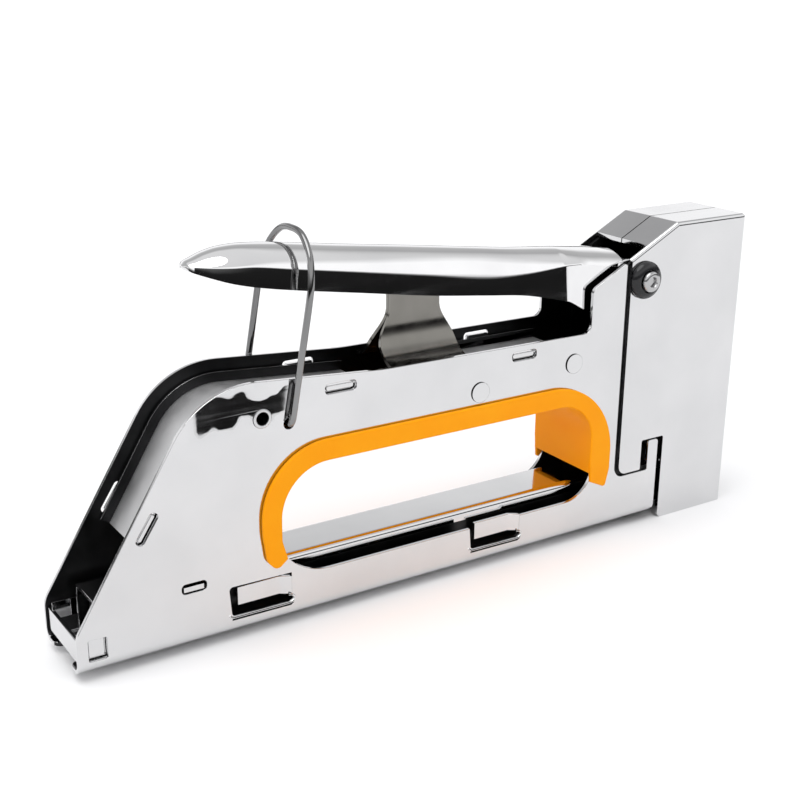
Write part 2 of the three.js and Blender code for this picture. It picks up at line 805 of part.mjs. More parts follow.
function pusherSpring() {
  const rear = -78.6;
  const front = STAPLE.rear - 0.3 - 25.2;
  const geometry = coil(2.4, front - rear, 12, 0.45, 8, 4);
  geometry.rotateY(Math.PI / 2);
  geometry.translate(rear + 0.45, 0, ROD_Z);
  return geometry;
}

function endPlate() {
  const wall = block(-98.3, -97.3, -9.6, 9.6, 4.7, 10.2);
  const tongue = block(-97.5, -84, -3.5, 3.5, 9, 10.1);
  const cheek = block(-97.5, -91.4, 9, 9.7, 5.2, 11.3);
  const button = block(
    CATCH_WINDOW.rear + 0.4,
    CATCH_WINDOW.front - 0.4,
    9.5,
    9.88,
    CATCH_WINDOW.bottom + 0.4,
    CATCH_WINDOW.top - 0.4,
  );
  const farSide = join(cheek, button);
  return join(wall, tongue, farSide, mirrored(farSide));
}

// ---------- fasteners ----------
function rivet(place) {
  const face = SIDE + 0.06;
  return turnedY(place, [
    [0, -face - 0.28],
    [2.3, -face - 0.28],
    [2.65, -face - 0.1],
    [2.65, -face],
    [1.2, -face],
    [1.2, -8.62],
    [2, -8.62],
    [2, -8.2],
    [0, -8.2],
  ]);
}

function eyelet() {
  const face = SIDE + 0.06;
  return turnedY(EYELET, [
    [1.5, -face - 0.2],
    [2.1, -face - 0.22],
    [2.35, -face - 0.1],
    [2.35, -face],
    [1.9, -face],
    [1.9, face],
    [2.35, face],
    [2.35, face + 0.1],
    [2.1, face + 0.22],
    [1.5, face + 0.2],
  ]);
}

function domedWasher() {
  const face = SIDE + SLIP;
  return turnedY(LEVER_PIVOT, [
    [2.75, face],
    [5.1, face],
    [5.1, face + 0.5],
    [4.6, face + 1.4],
    [3.7, face + 2],
    [3.15, face + 2.1],
    [3.15, face + 1.2],
    [2.75, face + 1.2],
  ]);
}

function pivotBolt() {
  const head = SIDE + SLIP + 1.3;
  return turnedY(LEVER_PIVOT, [
    [0, 14],
    [2.3, 14],
    [2.5, 13.7],
    [2.5, -head],
    [2.8, -head],
    [2.8, -head - 1.5],
    [2.2, -head - 2.05],
    [1.4, -head - 2.1],
    [1.1, -head - 1.2],
    [0, -head - 1.2],
  ]);
}

function pivotNut() {
  const low = SIDE + SLIP + 1.3;
  return cut(
    cylinderY(LEVER_PIVOT, 3.05, low, low + 2.1, 6),
    cylinderY(LEVER_PIVOT, 2.6, low - 1, low + 4),
  );
}

// ---------- wire lock ----------
function lockBail() {
  const half = [
    [BAIL_HALF - 3.3, 0],
    [BAIL_HALF - 1.2, 0],
    [BAIL_HALF - 0.25, 0.6],
    [BAIL_HALF, 2],
    [BAIL_HALF, 16],
    [BAIL_HALF, 28],
    [BAIL_HALF - 0.5, 33],
    [BAIL_HALF - 2.1, 37.4],
    [BAIL_HALF - 4.5, 40.4],
    [BAIL_HALF - 7.2, BAIL_REACH - 0.9],
    [BAIL_HALF - 9.6, BAIL_REACH - 0.15],
  ];
  const place = ([y, reach]) => new THREE.Vector3(
    BAIL_PIVOT[0] + reach * Math.sin(BAIL_LEAN),
    y,
    BAIL_PIVOT[1] + reach * Math.cos(BAIL_LEAN),
  );
  const near = half.map(([y, reach]) => place([-y, reach]));
  const far = half.map(place).reverse();
  const path = new THREE.CatmullRomCurve3([...near, place([0, BAIL_REACH]), ...far], false, 'centripetal');
  const section = [];
  for (let side = 0; side < 6; side += 1) {
    const angle = (Math.PI * 2 * side) / 6;
    section.push(new THREE.Vector2(BAIL_WIRE * Math.cos(angle), BAIL_WIRE * Math.sin(angle)));
  }
  return new THREE.ExtrudeGeometry(new THREE.Shape(section), {
    steps: 48,
    extrudePath: path,
    bevelEnabled: false,
  });
}

// ---------- the whole tool ----------
const near = nearShell();
add('near_side_shell', near, CHROME);
add('far_side_shell', mirrored(near), CHROME);
add('front_cover', frontCover(), CHROME);
add('finger_guard', fingerGuard(), ORANGE);
add('spine_strip', spineStrip(), CHROME);
add('rocker_bracket', rockerBracket(), CHROME);
add('squeeze_lever', squeezeLever(), CHROME);
add('link_bracket', linkBracket(), STEEL);
add('link_pin', cylinderY(LINK_PIVOT, 1.15, -3.2, 3.2, 16), STEEL);
add('pivot_sleeve', cut(
  cylinderY(LEVER_PIVOT, 4, -7.1, 7.1),
  cylinderY(LEVER_PIVOT, 2.65, -8, 8),
), STEEL);
add('lever_link', leverLink(), CHROME);
add('link_foot_pin', cylinderY(LINK_FOOT, 1.5, -9.2, 9.2, 16), STEEL);
add('rocker_arm', rockerArm(), DARK_STEEL);
add('rocker_pin', cylinderY(ROCKER_PIVOT, 1.5, -9.5, 9.5, 16), STEEL);
add('plunger', plunger(), DARK_STEEL);
add('driver_blade', driverBlade(), STEEL);
add('drive_spring', driveSpring(), DARK_STEEL);
add('spring_cap', springCap(), STEEL);
add('plunger_bumper', block(80.5, 93, -7, 7, HOUSING.top + 0.3, 21.5), RUBBER);
add('nose_plate', block(BLADE_X + 1.5, FRONT - 1.35, -8.5, 8.5, 0.9, 70), STEEL);
add('magazine_housing', magazineHousing(), CHROME);
add('staple_rail', stapleRail(), STEEL);
add('spring_rod', cylinderX(-82, 89.5, ROD_Z, 1.1, 12), STEEL);
add('staple_strip', stapleStrip(), STEEL);
add('staple_pusher', staplePusher(), STEEL);
add('pusher_spring', pusherSpring(), STEEL);
add('magazine_end_plate', endPlate(), CHROME);
add('pivot_bolt', pivotBolt(), CHROME);
add('pivot_nut', pivotNut(), CHROME);
add('far_pivot_washer', domedWasher(), BLACK);
add('near_pivot_washer', mirrored(domedWasher()), BLACK);
add('lanyard_eyelet', eyelet(), STEEL);
add('near_rear_rivet', rivet(REAR_RIVET), CHROME);
add('near_front_rivet', rivet(FRONT_RIVET), CHROME);
add('far_rear_rivet', mirrored(rivet(REAR_RIVET)), CHROME);
add('far_front_rivet', mirrored(rivet(FRONT_RIVET)), CHROME);
add('lock_bail', lockBail(), CHROME);

export default tacker;
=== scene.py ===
import json
import math

import bmesh
import bpy
from mathutils import Matrix, Vector


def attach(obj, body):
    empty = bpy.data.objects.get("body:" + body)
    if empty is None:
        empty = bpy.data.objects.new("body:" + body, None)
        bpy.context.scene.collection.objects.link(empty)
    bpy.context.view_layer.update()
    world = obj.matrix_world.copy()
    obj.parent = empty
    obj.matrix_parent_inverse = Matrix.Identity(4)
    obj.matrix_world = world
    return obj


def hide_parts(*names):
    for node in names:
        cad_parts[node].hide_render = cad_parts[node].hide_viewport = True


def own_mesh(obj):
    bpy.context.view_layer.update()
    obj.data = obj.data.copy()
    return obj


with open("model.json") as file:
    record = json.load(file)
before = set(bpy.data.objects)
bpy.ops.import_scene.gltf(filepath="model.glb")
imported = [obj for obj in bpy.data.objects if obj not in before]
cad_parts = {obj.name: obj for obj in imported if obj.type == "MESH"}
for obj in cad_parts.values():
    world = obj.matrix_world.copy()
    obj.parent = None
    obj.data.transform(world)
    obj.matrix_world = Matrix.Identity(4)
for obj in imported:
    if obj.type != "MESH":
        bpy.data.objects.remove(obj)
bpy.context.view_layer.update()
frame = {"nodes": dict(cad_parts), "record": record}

MM = 0.001

# ---------------------------------------------------------------- dimensions, millimetres
SIDE = 11.0
SHEET = 1.0
INNER = SIDE - SHEET
REAR = -98.75
FRONT = 98.75
BASE_Z = 2.0
ROLL = 3.0
ROLL_TOP = BASE_Z + ROLL
FLANGE = 4.5
NOSE_Z = 86.0
NECK_X = 44.2
NECK_Z = 71.2
BEVEL_SLOPE = (NOSE_Z - NECK_Z) / (73.0 - NECK_X)
SKIRT_Z = 16.0
HOOK_Z = 24.8
STRIP_SIDE = 9.6
STRIP_SHEET = 0.9
FLANGE_DEPTH = 2.9
WEB_DEPTH = 5.3
LEVER_PIVOT = (61.8, 71.7)
BAIL_PIVOT = (-45.6, 51.5)
EYELET = (-52.4, 54.0)
RIVETS = {"rear": (8.5, 49.5), "front": (38.8, 52.1)}
LINK_TOP = 82.2
LINK_PIVOT = (-5.0, 80.0)
LINK_BORE = 1.4
BEND_X, BEND_Z = -67.0, 63.8
CREST_X, CREST_Z = -20.0, 60.2
BEND_RADIUS = 22
REAR_TOP = 11.6
TOP_LINE = [(-87.1, 30.7, 0), (BEND_X, BEND_Z, BEND_RADIUS), (CREST_X, CREST_Z, 0)]
BRACKET_LINE = [(6.4, 59.94, 0), (40.6, 59.6, 0)]
EAR_SLOTS = [(-81.1, 33.6, 8.0, 2.2, 57), (-31.8, 57.9, 8.5, 2.5, 0), (22.2, 57.0, 7.9, 2.5, 0)]
HOUSING_SLOT = (-70.6, 16.65, 6.2, 2.5, 0)
TAB_STARTS = (-61.2, 7.2)
TAB_DEPTH = 1.6
OPENING_REAR, OPENING_FRONT = -50.0, 47.5
OPENING_BOTTOM, OPENING_TOP = 12.5, 44.0
GRIP_REAR, GRIP_FRONT, GRIP_TOP = -48.4, 45.5, 40.8
RIVET_FACE = SIDE + 0.06
WASHER_FACE = SIDE + 0.15
GUARD_FACE = SIDE + 0.15
MAGAZINE_SHADE_TOP = 13.3
BAIL_LEAN = math.radians(10)
BAIL_HALF = 12.4
BAIL_REACH = 43.2
BAIL_WIRE = 0.8
THROUGH = 20.0  # half width of a cutter that passes right through the tool


# ---------------------------------------------------------------- outlines
def outline(corners, steps=12):
    """Points of a closed outline whose corners (x, z, radius) are rounded."""
    points = []
    count = len(corners)
    for index, corner in enumerate(corners):
        here = Vector(corner[:2])
        radius = corner[2] if len(corner) > 2 else 0
        if radius == 0:
            points.append(here)
            continue
        back = (Vector(corners[index - 1][:2]) - here).normalized()
        ahead = (Vector(corners[(index + 1) % count][:2]) - here).normalized()
        half = math.acos(max(-1, min(1, back.dot(ahead)))) / 2
        centre = here + (back + ahead).normalized() * (radius / math.sin(half))
        first = here + back * (radius / math.tan(half)) - centre
        last = here + ahead * (radius / math.tan(half)) - centre
        turn = math.atan2(first.x * last.y - first.y * last.x, first.dot(last))
        for step in range(steps + 1):
            angle = turn * step / steps
            c, s = math.cos(angle), math.sin(angle)
            points.append(centre + Vector((first.x * c - first.y * s, first.x * s + first.y * c)))
    return points


def rectangle(x0, x1, z0, z1, radius=0.0, steps=6):
    corners = [(x0, z0, radius), (x1, z0, radius), (x1, z1, radius), (x0, z1, radius)]
    return outline(corners, steps)


def circle(centre, radius, sides=40):
    return [
        Vector((centre[0] + radius * math.cos(t), centre[1] + radius * math.sin(t)))
        for t in (2 * math.pi * k / sides for k in range(sides))
    ]


def slot_outline(slot, shrink=0.0):
    x, z, length, width, degrees = slot
    half_l, half_w = length / 2 - shrink, width / 2 - shrink
    turn = Matrix.Rotation(math.radians(degrees), 2)
    return [turn @ p + Vector((x, z)) for p in rectangle(-half_l, half_l, -half_w, half_w, half_w * 0.8)]


def moved_in(line, depth):
    """An open line of corners moved to the right of its direction, radii kept concentric."""
    points = [Vector(p[:2]) for p in line]
    normals = []
    for a, b in zip(points, points[1:]):
        along = (b - a).normalized()
        normals.append(Vector((along.y, -along.x)))
    result = []
    for index, point in enumerate(points):
        before = normals[max(index - 1, 0)]
        after = normals[min(index, len(normals) - 1)]
        shift = (before + after) / (1 + before.dot(after))
        radius = line[index][2]
        place = point + shift * depth
        result.append((place.x, place.y, radius - depth if radius else 0))
    return result


def ribbon(line, shallow, deep):
    return outline(moved_in(line, shallow) + moved_in(line, deep)[::-1], 20)


# ---------------------------------------------------------------- mesh building
def new_object(name, data):
    piece = bpy.data.objects.new(name, data)
    bpy.context.scene.collection.objects.link(piece)
    return piece


def baked(piece):
    """A plain mesh of what a curve or a modified object shows; the source is removed."""
    bpy.context.view_layer.update()
    graph = bpy.context.evaluated_depsgraph_get()
    mesh = bpy.data.meshes.new_from_object(piece.evaluated_get(graph), depsgraph=graph)
    mesh.transform(piece.matrix_world)
    bpy.data.objects.remove(piece, do_unlink=True)
    return mesh


def mesh_of(work, name):
    """The mesh of finished bmesh work, which is freed."""
    mesh = bpy.data.meshes.new(name)
    work.to_mesh(mesh)
    work.free()
    return mesh


def sliced(mesh, planes):
    """A mesh with new edges where planes, pairs of a point in mm and a normal, cross it."""
    work = bmesh.new()
    work.from_mesh(mesh)
    for point, normal in planes:
        everything = work.verts[:] + work.edges[:] + work.faces[:]
        where = Vector(point) * MM
        bmesh.ops.bisect_plane(work, geom=everything, plane_co=where, plane_no=normal, dist=1e-7)
    work.to_mesh(mesh)
    work.free()
    return mesh


def weld(mesh, distance=1e-7):
    work = bmesh.new()
    work.from_mesh(mesh)
    bmesh.ops.remove_doubles(work, verts=work.verts, dist=distance)
    bmesh.ops.recalc_face_normals(work, faces=work.faces)
    work.to_mesh(mesh)
    work.free()
    return mesh


def plate(loops, low, high, edge=0.12, resolution=2):
    """Sheet or block with side-view loops (outer first, then holes) between two y values."""
    data = bpy.data.curves.new("outline", "CURVE")
    data.dimensions = "2D"
    data.fill_mode = "BOTH"
    data.extrude = ((high - low) / 2 - edge) * MM
    data.bevel_depth = edge * MM
    data.bevel_resolution = resolution
    data.offset = -edge * MM
    for loop in loops:
        spline = data.splines.new("POLY")
        spline.points.add(len(loop) - 1)
        for point, place in zip(spline.points, loop):
            point.co = (place[0] * MM, place[1] * MM, 0, 1)
        spline.use_cyclic_u = True
    piece = new_object("outline", data)
    upright = Matrix.Rotation(math.pi / 2, 4, "X")
    piece.matrix_world = Matrix.Translation((0, (low + high) / 2 * MM, 0)) @ upright
    return weld(baked(piece))


def prism(points, low, high, place):
    """Straight solid from a closed outline; place turns (u, v, w) in mm into a point."""
    work = bmesh.new()
    ends = []
    for w in (low, high):
        ends.append([work.verts.new(place(p[0], p[1], w) * MM) for p in points])
    count = len(points)
    for index in range(count):
        after = (index + 1) % count
        work.faces.new((ends[0][index], ends[0][after], ends[1][after], ends[1][index]))
    work.faces.new(ends[0][::-1])
    work.faces.new(ends[1])
    bmesh.ops.recalc_face_normals(work, faces=work.faces)
    return mesh_of(work, "prism")


def along_x(points, low, high):
    return prism(points, low, high, lambda u, v, w: Vector((w, u, v)))


def across_y(points, low, high):
    return prism(points, low, high, lambda u, v, w: Vector((u, w, v)))


def up_z(points, low, high):
    return prism(points, low, high, lambda u, v, w: Vector((u, v, w)))


def block(x0, x1, y0, y1, z0, z1):
    return across_y(rectangle(x0, x1, z0, z1), y0, y1)


def turned(centre, profile, sign=1, sides=56):
    """A round piece on a cross axis. The profile is closed pairs of (radius, y)."""
    work = bmesh.new()
    rings = []
    for radius, y in profile:
        if radius == 0:
            rings.append([work.verts.new(Vector((centre[0], y * sign, centre[1])) * MM)])
            continue
        ring = []
        for k in range(sides):
            t = 2 * math.pi * k / sides
            place = (centre[0] + radius * math.cos(t), y * sign, centre[1] + radius * math.sin(t))
            ring.append(work.verts.new(Vector(place) * MM))
        rings.append(ring)
    pairs = list(zip(rings, rings[1:] + rings[:1]))
    for a, b in pairs:
        if len(a) == 1 and len(b) == 1:
            continue
        for k in range(sides):
            n = (k + 1) % sides
            if len(a) == 1:
                work.faces.new((a[0], b[n], b[k]))
            elif len(b) == 1:
                work.faces.new((a[k], a[n], b[0]))
            else:
                work.faces.new((a[k], a[n], b[n], b[k]))
    bmesh.ops.recalc_face_normals(work, faces=work.faces)
    return mesh_of(work, "turned")


def joined(*meshes):
    work = bmesh.new()
    for mesh in meshes:
        work.from_mesh(mesh)
    return mesh_of(work, "joined")


def mirrored(mesh):
    copy = mesh.copy()
    copy.transform(Matrix.Scale(-1, 4, (0, 1, 0)))
    copy.flip_normals()
    return copy


def boolean(mesh, tool, operation="DIFFERENCE"):
    piece, other = new_object("solid", mesh), new_object("tool", tool)
    change = piece.modifiers.new("cut", "BOOLEAN")
    change.object = other
    change.operation = operation
    change.solver = "EXACT"
    result = baked(piece)
    bpy.data.objects.remove(other, do_unlink=True)
    return result


def cut(mesh, *tools):
    for tool in tools:
        mesh = boolean(mesh, tool)
    return mesh


def softened(mesh, width, segments=2, degrees=30):
    """Narrow rounded edges, so that every fold and cut edge catches the light."""
    piece = new_object("soft", mesh)
    change = piece.modifiers.new("edge", "BEVEL")
    change.width = width * MM
    change.segments = segments
    change.limit_method = "ANGLE"
    change.angle_limit = math.radians(degrees)
    change.use_clamp_overlap = True
    return baked(piece)


def tube(points, radius, sides):
    """A round wire along points, with closed ends."""
    data = bpy.data.curves.new("tube", "CURVE")
    data.dimensions = "3D"
    data.bevel_depth = radius * MM
    data.bevel_resolution = sides // 4
    data.use_fill_caps = True
    spline = data.splines.new("POLY")
    spline.points.add(len(points) - 1)
    for point, place in zip(spline.points, points):
        point.co = (*(Vector(place) * MM), 1)
    return weld(baked(new_object("tube", data)))


# ---------------------------------------------------------------- materials
def filled_ramp(tree, stops):
    """A colour ramp node with the given (place, colour) stops."""
    node = tree.nodes.new("ShaderNodeValToRGB")
    elements = node.color_ramp.elements
    while len(elements) < len(stops):
        elements.new(0.5)
    for element, (place, colour) in zip(elements, stops):
        element.position = place
        element.color = (*colour, 1)
    return node


class Nodes:
    """Small helper round one material's node tree."""

    def __init__(self, name):
        self.material = bpy.data.materials.new(name)
        self.material.use_nodes = True
        self.tree = self.material.node_tree
        self.shader = self.tree.nodes["Principled BSDF"]
        self.coords = self.add("ShaderNodeTexCoord").outputs["Object"]

    def add(self, kind, **settings):
        node = self.tree.nodes.new(kind)
        for key, value in settings.items():
            setattr(node, key, value)
        return node

    def link(self, source, target):
        self.tree.links.new(source, target)

    def noise(self, scale, detail=3.0, stretch=(1, 1, 1), roughness=0.5):
        mapping = self.add("ShaderNodeMapping")
        mapping.inputs["Scale"].default_value = stretch
        self.link(self.coords, mapping.inputs["Vector"])
        node = self.add("ShaderNodeTexNoise")
        node.inputs["Scale"].default_value = scale
        node.inputs["Detail"].default_value = detail
        node.inputs["Roughness"].default_value = roughness
        self.link(mapping.outputs["Vector"], node.inputs["Vector"])
        return node.outputs["Fac"]

    def ranged(self, value, low, high, start=0.3, end=0.7):
        node = self.add("ShaderNodeMapRange")
        node.inputs["From Min"].default_value = start
        node.inputs["From Max"].default_value = end
        node.inputs["To Min"].default_value = low
        node.inputs["To Max"].default_value = high
        self.link(value, node.inputs["Value"])
        return node.outputs["Result"]

    def ramp(self, value, stops):
        node = filled_ramp(self.tree, stops)
        self.link(value, node.inputs["Fac"])
        return node.outputs["Color"]

    def maths(self, operation, a, b):
        node = self.add("ShaderNodeMath", operation=operation)
        for socket, value in zip(node.inputs, (a, b)):
            if isinstance(value, (int, float)):
                socket.default_value = value
            else:
                self.link(value, socket)
        return node.outputs["Value"]

    def bump(self, height, distance, strength=1.0, after=None):
        node = self.add("ShaderNodeBump")
        node.inputs["Strength"].default_value = strength
        node.inputs["Distance"].default_value = distance
        self.link(height, node.inputs["Height"])
        if after is not None:
            self.link(after, node.inputs["Normal"])
        return node.outputs["Normal"]


# The pressed hollow, in mm: its upper edge is highest at HOLLOW_X, rounds down behind and slopes ahead.
# Each pair of limits is where its tilt comes in or fades out: down from the edge, then along the tool.
HOLLOW_X, HOLLOW_TOP = -60, 63.3
HOLLOW_ROUND, HOLLOW_SLOPE = 30, 0.077
HOLLOW_WANDER = 2.2
HOLLOW_TILT = 0.24
HOLLOW_EDGE = (1.4, 3.2)
HOLLOW_FOOT = (7.5, 12)
HOLLOW_REAR = (-73, -68)
HOLLOW_FRONT = (-48, -34)


def pressed_hollow(n, normal):
    """Tilts the normal over a shallow hollow pressed under the rear bend of the top edge."""
    split = n.add("ShaderNodeSeparateXYZ")
    n.link(n.coords, split.inputs["Vector"])
    x = n.maths("MULTIPLY", split.outputs["X"], 1 / MM)
    z = n.maths("MULTIPLY", split.outputs["Z"], 1 / MM)
    along = n.maths("ADD", x, -HOLLOW_X)
    behind = n.maths("MINIMUM", along, 0)
    fall = n.maths("MULTIPLY", n.maths("MULTIPLY", behind, behind), 1 / HOLLOW_ROUND)
    slope = n.maths("MULTIPLY", n.maths("MAXIMUM", along, 0), HOLLOW_SLOPE)
    top = n.maths("SUBTRACT", HOLLOW_TOP, n.maths("ADD", fall, slope))
    wander = n.ranged(n.noise(120, 2), -HOLLOW_WANDER, HOLLOW_WANDER)
    depth = n.maths("ADD", n.maths("SUBTRACT", top, z), wander)
    amount = n.ranged(depth, 0, HOLLOW_TILT, *HOLLOW_EDGE)
    fades = (
        n.ranged(depth, 1, 0, *HOLLOW_FOOT),
        n.ranged(x, 0, 1, *HOLLOW_REAR),
        n.ranged(x, 1, 0, *HOLLOW_FRONT),
    )
    for fade in fades:
        amount = n.maths("MULTIPLY", amount, fade)
    tilt = n.add("ShaderNodeCombineXYZ")
    n.link(amount, tilt.inputs["Z"])
    total = n.add("ShaderNodeVectorMath", operation="ADD")
    n.link(normal, total.inputs[0])
    n.link(tilt.outputs["Vector"], total.inputs[1])
    unit = n.add("ShaderNodeVectorMath", operation="NORMALIZE")
    n.link(total.outputs["Vector"], unit.inputs[0])
    return unit.outputs["Vector"]


def metal(name, dark, light, rough, grain=(1, 1, 1), wave=0.00006, scratch=0.000004, hollow=False):
    """Plated or bare metal: slow colour drift, patchy polish, fine scratches, rolled-sheet ripple."""
    n = Nodes(name)
    n.shader.inputs["Metallic"].default_value = 1.0
    drift = n.noise(45, 4)
    n.link(n.ramp(drift, [(0.3, dark), (0.7, light)]), n.shader.inputs["Base Color"])
    patches = n.ranged(n.noise(120, 6, roughness=0.65), rough[0], rough[1])
    lines = n.noise(260, 4, grain)
    streaks = n.ranged(lines, -0.02, 0.035, 0.35, 0.75)
    n.link(n.maths("ADD", patches, streaks), n.shader.inputs["Roughness"])
    ripple = n.bump(n.noise(28, 1), wave)
    normal = n.bump(lines, scratch, 1.0, ripple)
    n.link(pressed_hollow(n, normal) if hollow else normal, n.shader.inputs["Normal"])
    return n.material


def moulded(name, dark, light, rough, grain=0.00002, gloss=0.3):
    """Moulded plastic or paint: faint mottling, a fine spark-eroded grain and handling gloss."""
    n = Nodes(name)
    n.link(n.ramp(n.noise(70, 5), [(0.3, dark), (0.7, light)]), n.shader.inputs["Base Color"])
    n.link(n.ranged(n.noise(160, 5), rough[0], rough[1]), n.shader.inputs["Roughness"])
    n.shader.inputs["Specular IOR Level"].default_value = gloss
    soft = n.bump(n.noise(90, 2), 0.00003)
    n.link(n.bump(n.noise(2600, 2), grain, 1.0, soft), n.shader.inputs["Normal"])
    return n.material


PLATING = ((0.625, 0.627, 0.633), (0.685, 0.685, 0.69), (0.05, 0.10), (0.12, 1, 3))
CHROME = metal("chrome_plate", *PLATING)
LEVER_CHROME = metal("lever_chrome", (0.76, 0.76, 0.765), (0.84, 0.84, 0.84), (0.03, 0.06), (0.1, 2, 2))
STRIP = metal("channel_chrome", (0.74, 0.74, 0.745), (0.84, 0.84, 0.845), (0.42, 0.5))
LINK = metal("link_chrome", (0.16, 0.155, 0.14), (0.26, 0.25, 0.23), (0.12, 0.2))
SHELL = metal("shell_plate", *PLATING, hollow=True)
WIRE = metal("plated_wire", (0.17, 0.17, 0.172), (0.26, 0.26, 0.26), (0.06, 0.12), (1, 1, 0.1))
BOLT = metal("bolt_chrome", (0.40, 0.40, 0.405), (0.5, 0.5, 0.5), (0.10, 0.18), (1, 1, 0.1))
STEEL = metal("zinc_steel", (0.52, 0.525, 0.54), (0.64, 0.645, 0.65), (0.24, 0.36), (0.1, 1, 1))
DARK_STEEL = metal("oiled_steel", (0.10, 0.10, 0.105), (0.17, 0.17, 0.175), (0.32, 0.48))
# Painted shade: a near-black metal put on inner faces, seams, rim walls and bores, where the tool is only
# in shade
PAINTED_SHADE = metal("painted_shade_inner_face", (0.018, 0.018, 0.019), (0.045, 0.045, 0.046), (0.3, 0.5))
ORANGE = moulded("orange_plastic", (0.99, 0.345, 0.002), (1.0, 0.385, 0.004), (0.36, 0.46), gloss=0.1)
BLACK = moulded(
    "black_enamel", (0.012, 0.012, 0.013), (0.022, 0.022, 0.024), (0.08, 0.14), 0.000004, gloss=0.35)
RUBBER = moulded("black_rubber", (0.02, 0.02, 0.02), (0.04, 0.04, 0.04), (0.7, 0.85), 0.00004)

NODE_SLOTS = {row["node"]: row["material_slot"] for row in frame["record"]["subparts"]}
SLOT_LOOKS = {
    "shell_chrome": CHROME,
    "bright_steel": STEEL,
    "dark_steel": DARK_STEEL,
    "orange_guard": ORANGE,
    "black_washer": BLACK,
    "bumper_rubber": RUBBER,
}


def faces_inwards(face):
    """Whether a face of a sheet looks at the middle of the tool rather than out of it; such faces take
    the painted shade.
    """
    within_shell = abs(face.center.y) < (INNER + 0.4) * MM
    return within_shell and face.normal.y * face.center.y < -0.4 * abs(face.center.y)


def painted_shade_in_shell(face):
    """Inward faces of a side shell, its leaf under the nose cover and the seams under its windows, all
    given painted shade.
    """
    depth, height = abs(face.center.y) / MM, face.center.z / MM
    # The whole leaf and the seam grooves get painted shade: a dark leaf and dark lines where there is
    # only shade
    in_leaf = face.center.x > 54 * MM and depth < INNER - 0.05
    in_seam = SIDE - 0.55 < depth < SIDE - 0.03 and 5.3 < height < 6.05
    return faces_inwards(face) or in_leaf or in_seam


def under_link(face):
    """The inner side of the link's two legs, and what looks down; these get painted shade."""
    return face.normal.y * face.center.y < -0.3 * abs(face.center.y) or face.normal.z < -0.6


def low_side(face):
    """The lower part of the magazine's side walls, deep in the shells, which get painted shade."""
    return abs(face.normal.y) > 0.9 and face.center.z < MAGAZINE_SHADE_TOP * MM


def in_web(face):
    """The floor of a channel strip, between its two walls."""
    return abs(face.center.y) < (STRIP_SIDE - STRIP_SHEET) * MM and abs(face.normal.y) < 0.5


def place_piece(name, mesh, material, body, nodes, crease=32, others=()):
    """Adds a piece; others are (material, rule) pairs for the faces that differ."""
    mesh.materials.clear()
    mesh.materials.append(material)
    for index, (other, rule) in enumerate(others, 1):
        mesh.materials.append(other)
        for face in mesh.polygons:
            if rule(face):
                face.material_index = index
    mesh.shade_smooth()
    mesh.set_sharp_from_angle(angle=math.radians(crease))
    piece = new_object(name, mesh)
    even = piece.modifiers.new("even_faces", "WEIGHTED_NORMAL")
    even.keep_sharp = True
    even.weight = 90
    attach(piece, body)
    if nodes:
        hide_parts(*nodes)
    return piece


# ---------------------------------------------------------------- side shells
def bevel_z(x):
    return NECK_Z + BEVEL_SLOPE * (x - NECK_X)


MID_ROLL = ROLL - SHEET / 2
ROLL_LENGTH = MID_ROLL * math.pi / 2
FLAT_BOTTOM = ROLL_TOP - ROLL_LENGTH - (SIDE - ROLL - FLANGE)


def shell_outline():
    return outline([
        (REAR, FLAT_BOTTOM, 2.4),
        (71.5, FLAT_BOTTOM, 0.5),
        (71.5, HOOK_Z, 1.0),
        (67.9, HOOK_Z, 0.5),
        (67.9, SKIRT_Z, 0.5),
        (55.6, SKIRT_Z, 3.2),
        (55.6, bevel_z(55.6), 0.6),
        (NECK_X, NECK_Z, 2.0),
        (NECK_X, 59.6, 2.2),
        (CREST_X, CREST_Z, 60),
        (BEND_X, BEND_Z, BEND_RADIUS),
        (REAR, REAR_TOP, 6),
    ], 16)


def opening_outline(inset=0.0, tighter=0.0, steps=16):
    """The finger opening of the shells, or its outline drawn in with smaller radii."""
    rear, front = OPENING_REAR + inset, OPENING_FRONT - inset
    bottom, top = OPENING_BOTTOM + inset, OPENING_TOP - inset
    return outline([
        (rear, bottom, 15 - tighter), (front, bottom, 9 - tighter),
        (front, top, 17 - tighter), (rear, top, 14.5 - tighter),
    ], steps)


def shifted(start, corners):
    """Corners whose first number is counted from the rear end of a tab window."""
    return [(start + corner[0], *corner[1:]) for corner in corners]


def tab_window(start):
    """The hole a tab is pressed in through; the ramp of the tab closes its front end."""
    return outline(shifted(start, [
        (-0.3, 6.7, 0.8), (14.6, 6.5, 0.5), (15.9, 7.2, 0.5), (15.5, 8.3, 0.3),
        (15.5, 13.5, 0.1), (15.5, 13.95, 0.1), (-0.9, 14.2, 0.9),
    ]), 4)


def pressed_tab(start):
    """The tab itself, set back from the wall, with the ramp that still joins it."""
    outer = -SIDE + TAB_DEPTH
    inner = outer + SHEET
    plan = outline(shifted(start, [
        (15.6, -SIDE), (12.9, outer, 0.5), (2.0, outer, 0.15),
        (2.0, inner, 0.15), (13.2, inner, 0.6), (15.6, -SIDE + SHEET),
    ]), 5)
    return softened(up_z(plan, 8.2, 12.85), 0.16, 3, 40)


def window_lip(start):
    """The lower edge of a tab window, flared out a little and hooked round its front end."""
    line = shifted(start, [
        (-0.8, -SIDE + 0.1, 6.9), (-0.6, -SIDE - 0.06, 6.55), (0.4, -SIDE - 0.1, 6.35),
        (7, -SIDE - 0.12, 6.3), (13.8, -SIDE - 0.12, 6.2), (15.6, -SIDE - 0.1, 6.5),
        (16.2, -SIDE - 0.08, 7.2), (15.5, -SIDE - 0.05, 8.1), (14.5, -SIDE, 8.3),
    ])
    return tube(eased_path([Vector(place) for place in line], 6), 0.3, 12)


